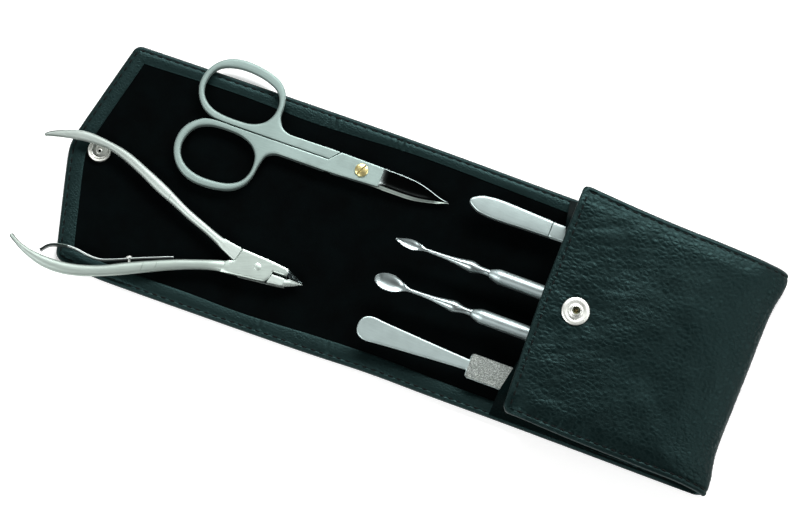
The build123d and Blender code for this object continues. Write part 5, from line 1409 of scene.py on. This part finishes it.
mesh("nail_file_abrasive", tool(v, -26.2), f, [M_grit], "nail_file", "abrasive", sharp=180, nodes=("nail_file_grit",))

# ================================================================ soft pieces: their placements baked into their meshes
for ob in (case_flap, flap_stitches, lin_flap):
    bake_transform(ob)
for ob in (case_back, back_stitches, lin_back):
    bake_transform(ob)

# ================================================================ room, light, camera
fl, nt, b = material("floor", (0.93, 0.93, 0.925), 0.6, Specular_IOR_Level=0.25)
co = coords(nt)
nz = node(nt, "ShaderNodeTexNoise", Scale=14.0, Detail=3.0)
nt.links.new(co, nz.inputs["Vector"])
nt.links.new(ramp(nt, nz.outputs["Fac"], [(0.3, (0.925, 0.925, 0.92)), (0.7, (0.94, 0.94, 0.936))]), b.inputs["Base Color"])
bpy.ops.mesh.primitive_plane_add(size=6, location=(0, 0, -0.0002))
floor = bpy.context.object
floor.name = "floor"
floor.data.materials.append(fl)
b.inputs["Emission Color"].default_value = (1, 1, 1, 1)
b.inputs["Emission Strength"].default_value = 0.42

world = bpy.data.worlds.new("studio")
bpy.context.scene.world = world
world.use_nodes = True
wn_ = world.node_tree
bg = wn_.nodes["Background"]
tc = wn_.nodes.new("ShaderNodeTexCoord")
sep = wn_.nodes.new("ShaderNodeSeparateXYZ")
wn_.links.new(tc.outputs["Generated"], sep.inputs[0])
up_ = math_node(wn_, "MAXIMUM", sep.outputs["Z"], value=0.0)
col = ramp(wn_, up_, [(0.0, (0.22,) * 3), (0.3, (0.36,) * 3), (0.6, (0.46,) * 3), (0.75, (0.28,) * 3), (0.87, (0.03,) * 3), (0.94, (0.003,) * 3)])
# the room is darker beyond the pocket's end
end_ = ramp(wn_, math_node(wn_, "MULTIPLY_ADD", sep.outputs["X"], value=0.5), [(0.5, (1, 1, 1)), (0.85, (0.30,) * 3)])
for l_ in wn_.links:
    if l_.from_socket == sep.outputs["X"]:
        l_.to_node.inputs[2].default_value = 0.5
dim = wn_.nodes.new("ShaderNodeMix")
dim.data_type = "RGBA"
dim.blend_type = "MULTIPLY"
dim.inputs["Factor"].default_value = 1.0
wn_.links.new(col, dim.inputs[6])
wn_.links.new(end_, dim.inputs[7])
wn_.links.new(dim.outputs[2], bg.inputs["Color"])
bg.inputs["Strength"].default_value = 0.68


def area(name, loc, target, size, power, colour=(1, 1, 1)):
    l = bpy.data.lights.new(name, "AREA")
    l.shape = "RECTANGLE"
    l.size, l.size_y = size
    l.energy = power
    l.color = colour
    o = bpy.data.objects.new(name, l)
    bpy.context.scene.collection.objects.link(o)
    o.location = loc
    o.rotation_euler = (Vector(target) - Vector(loc)).to_track_quat("-Z", "Y").to_euler()
    return o


area("key", (0.10, 1.10, 1.05), (0, 0, 0), (1.5, 0.5), 33)
area("side", (1.25, 0.10, 0.75), (0.05, 0, 0), (0.5, 0.9), 5)
area("fill", (-0.75, -0.85, 1.2), (0, 0, 0), (0.9, 0.6), 17)

cam = bpy.data.cameras.new("camera")
cam_ob = bpy.data.objects.new("camera", cam)
bpy.context.scene.collection.objects.link(cam_ob)
cam.sensor_fit = "HORIZONTAL"
cam.sensor_width = 36.0
cam.lens = 341.2
cam.clip_end = 20
az, el = math.radians(19.97), math.radians(78.5)
target = Vector((-0.00378, 0.00202, 0))
direction = Vector((math.sin(az) * math.cos(el), -math.cos(az) * math.cos(el), math.sin(el)))
cam_ob.location = target + direction * 2.5
cam_ob.rotation_euler = (-direction).to_track_quat("-Z", "Y").to_euler()
bpy.context.scene.camera = cam_ob
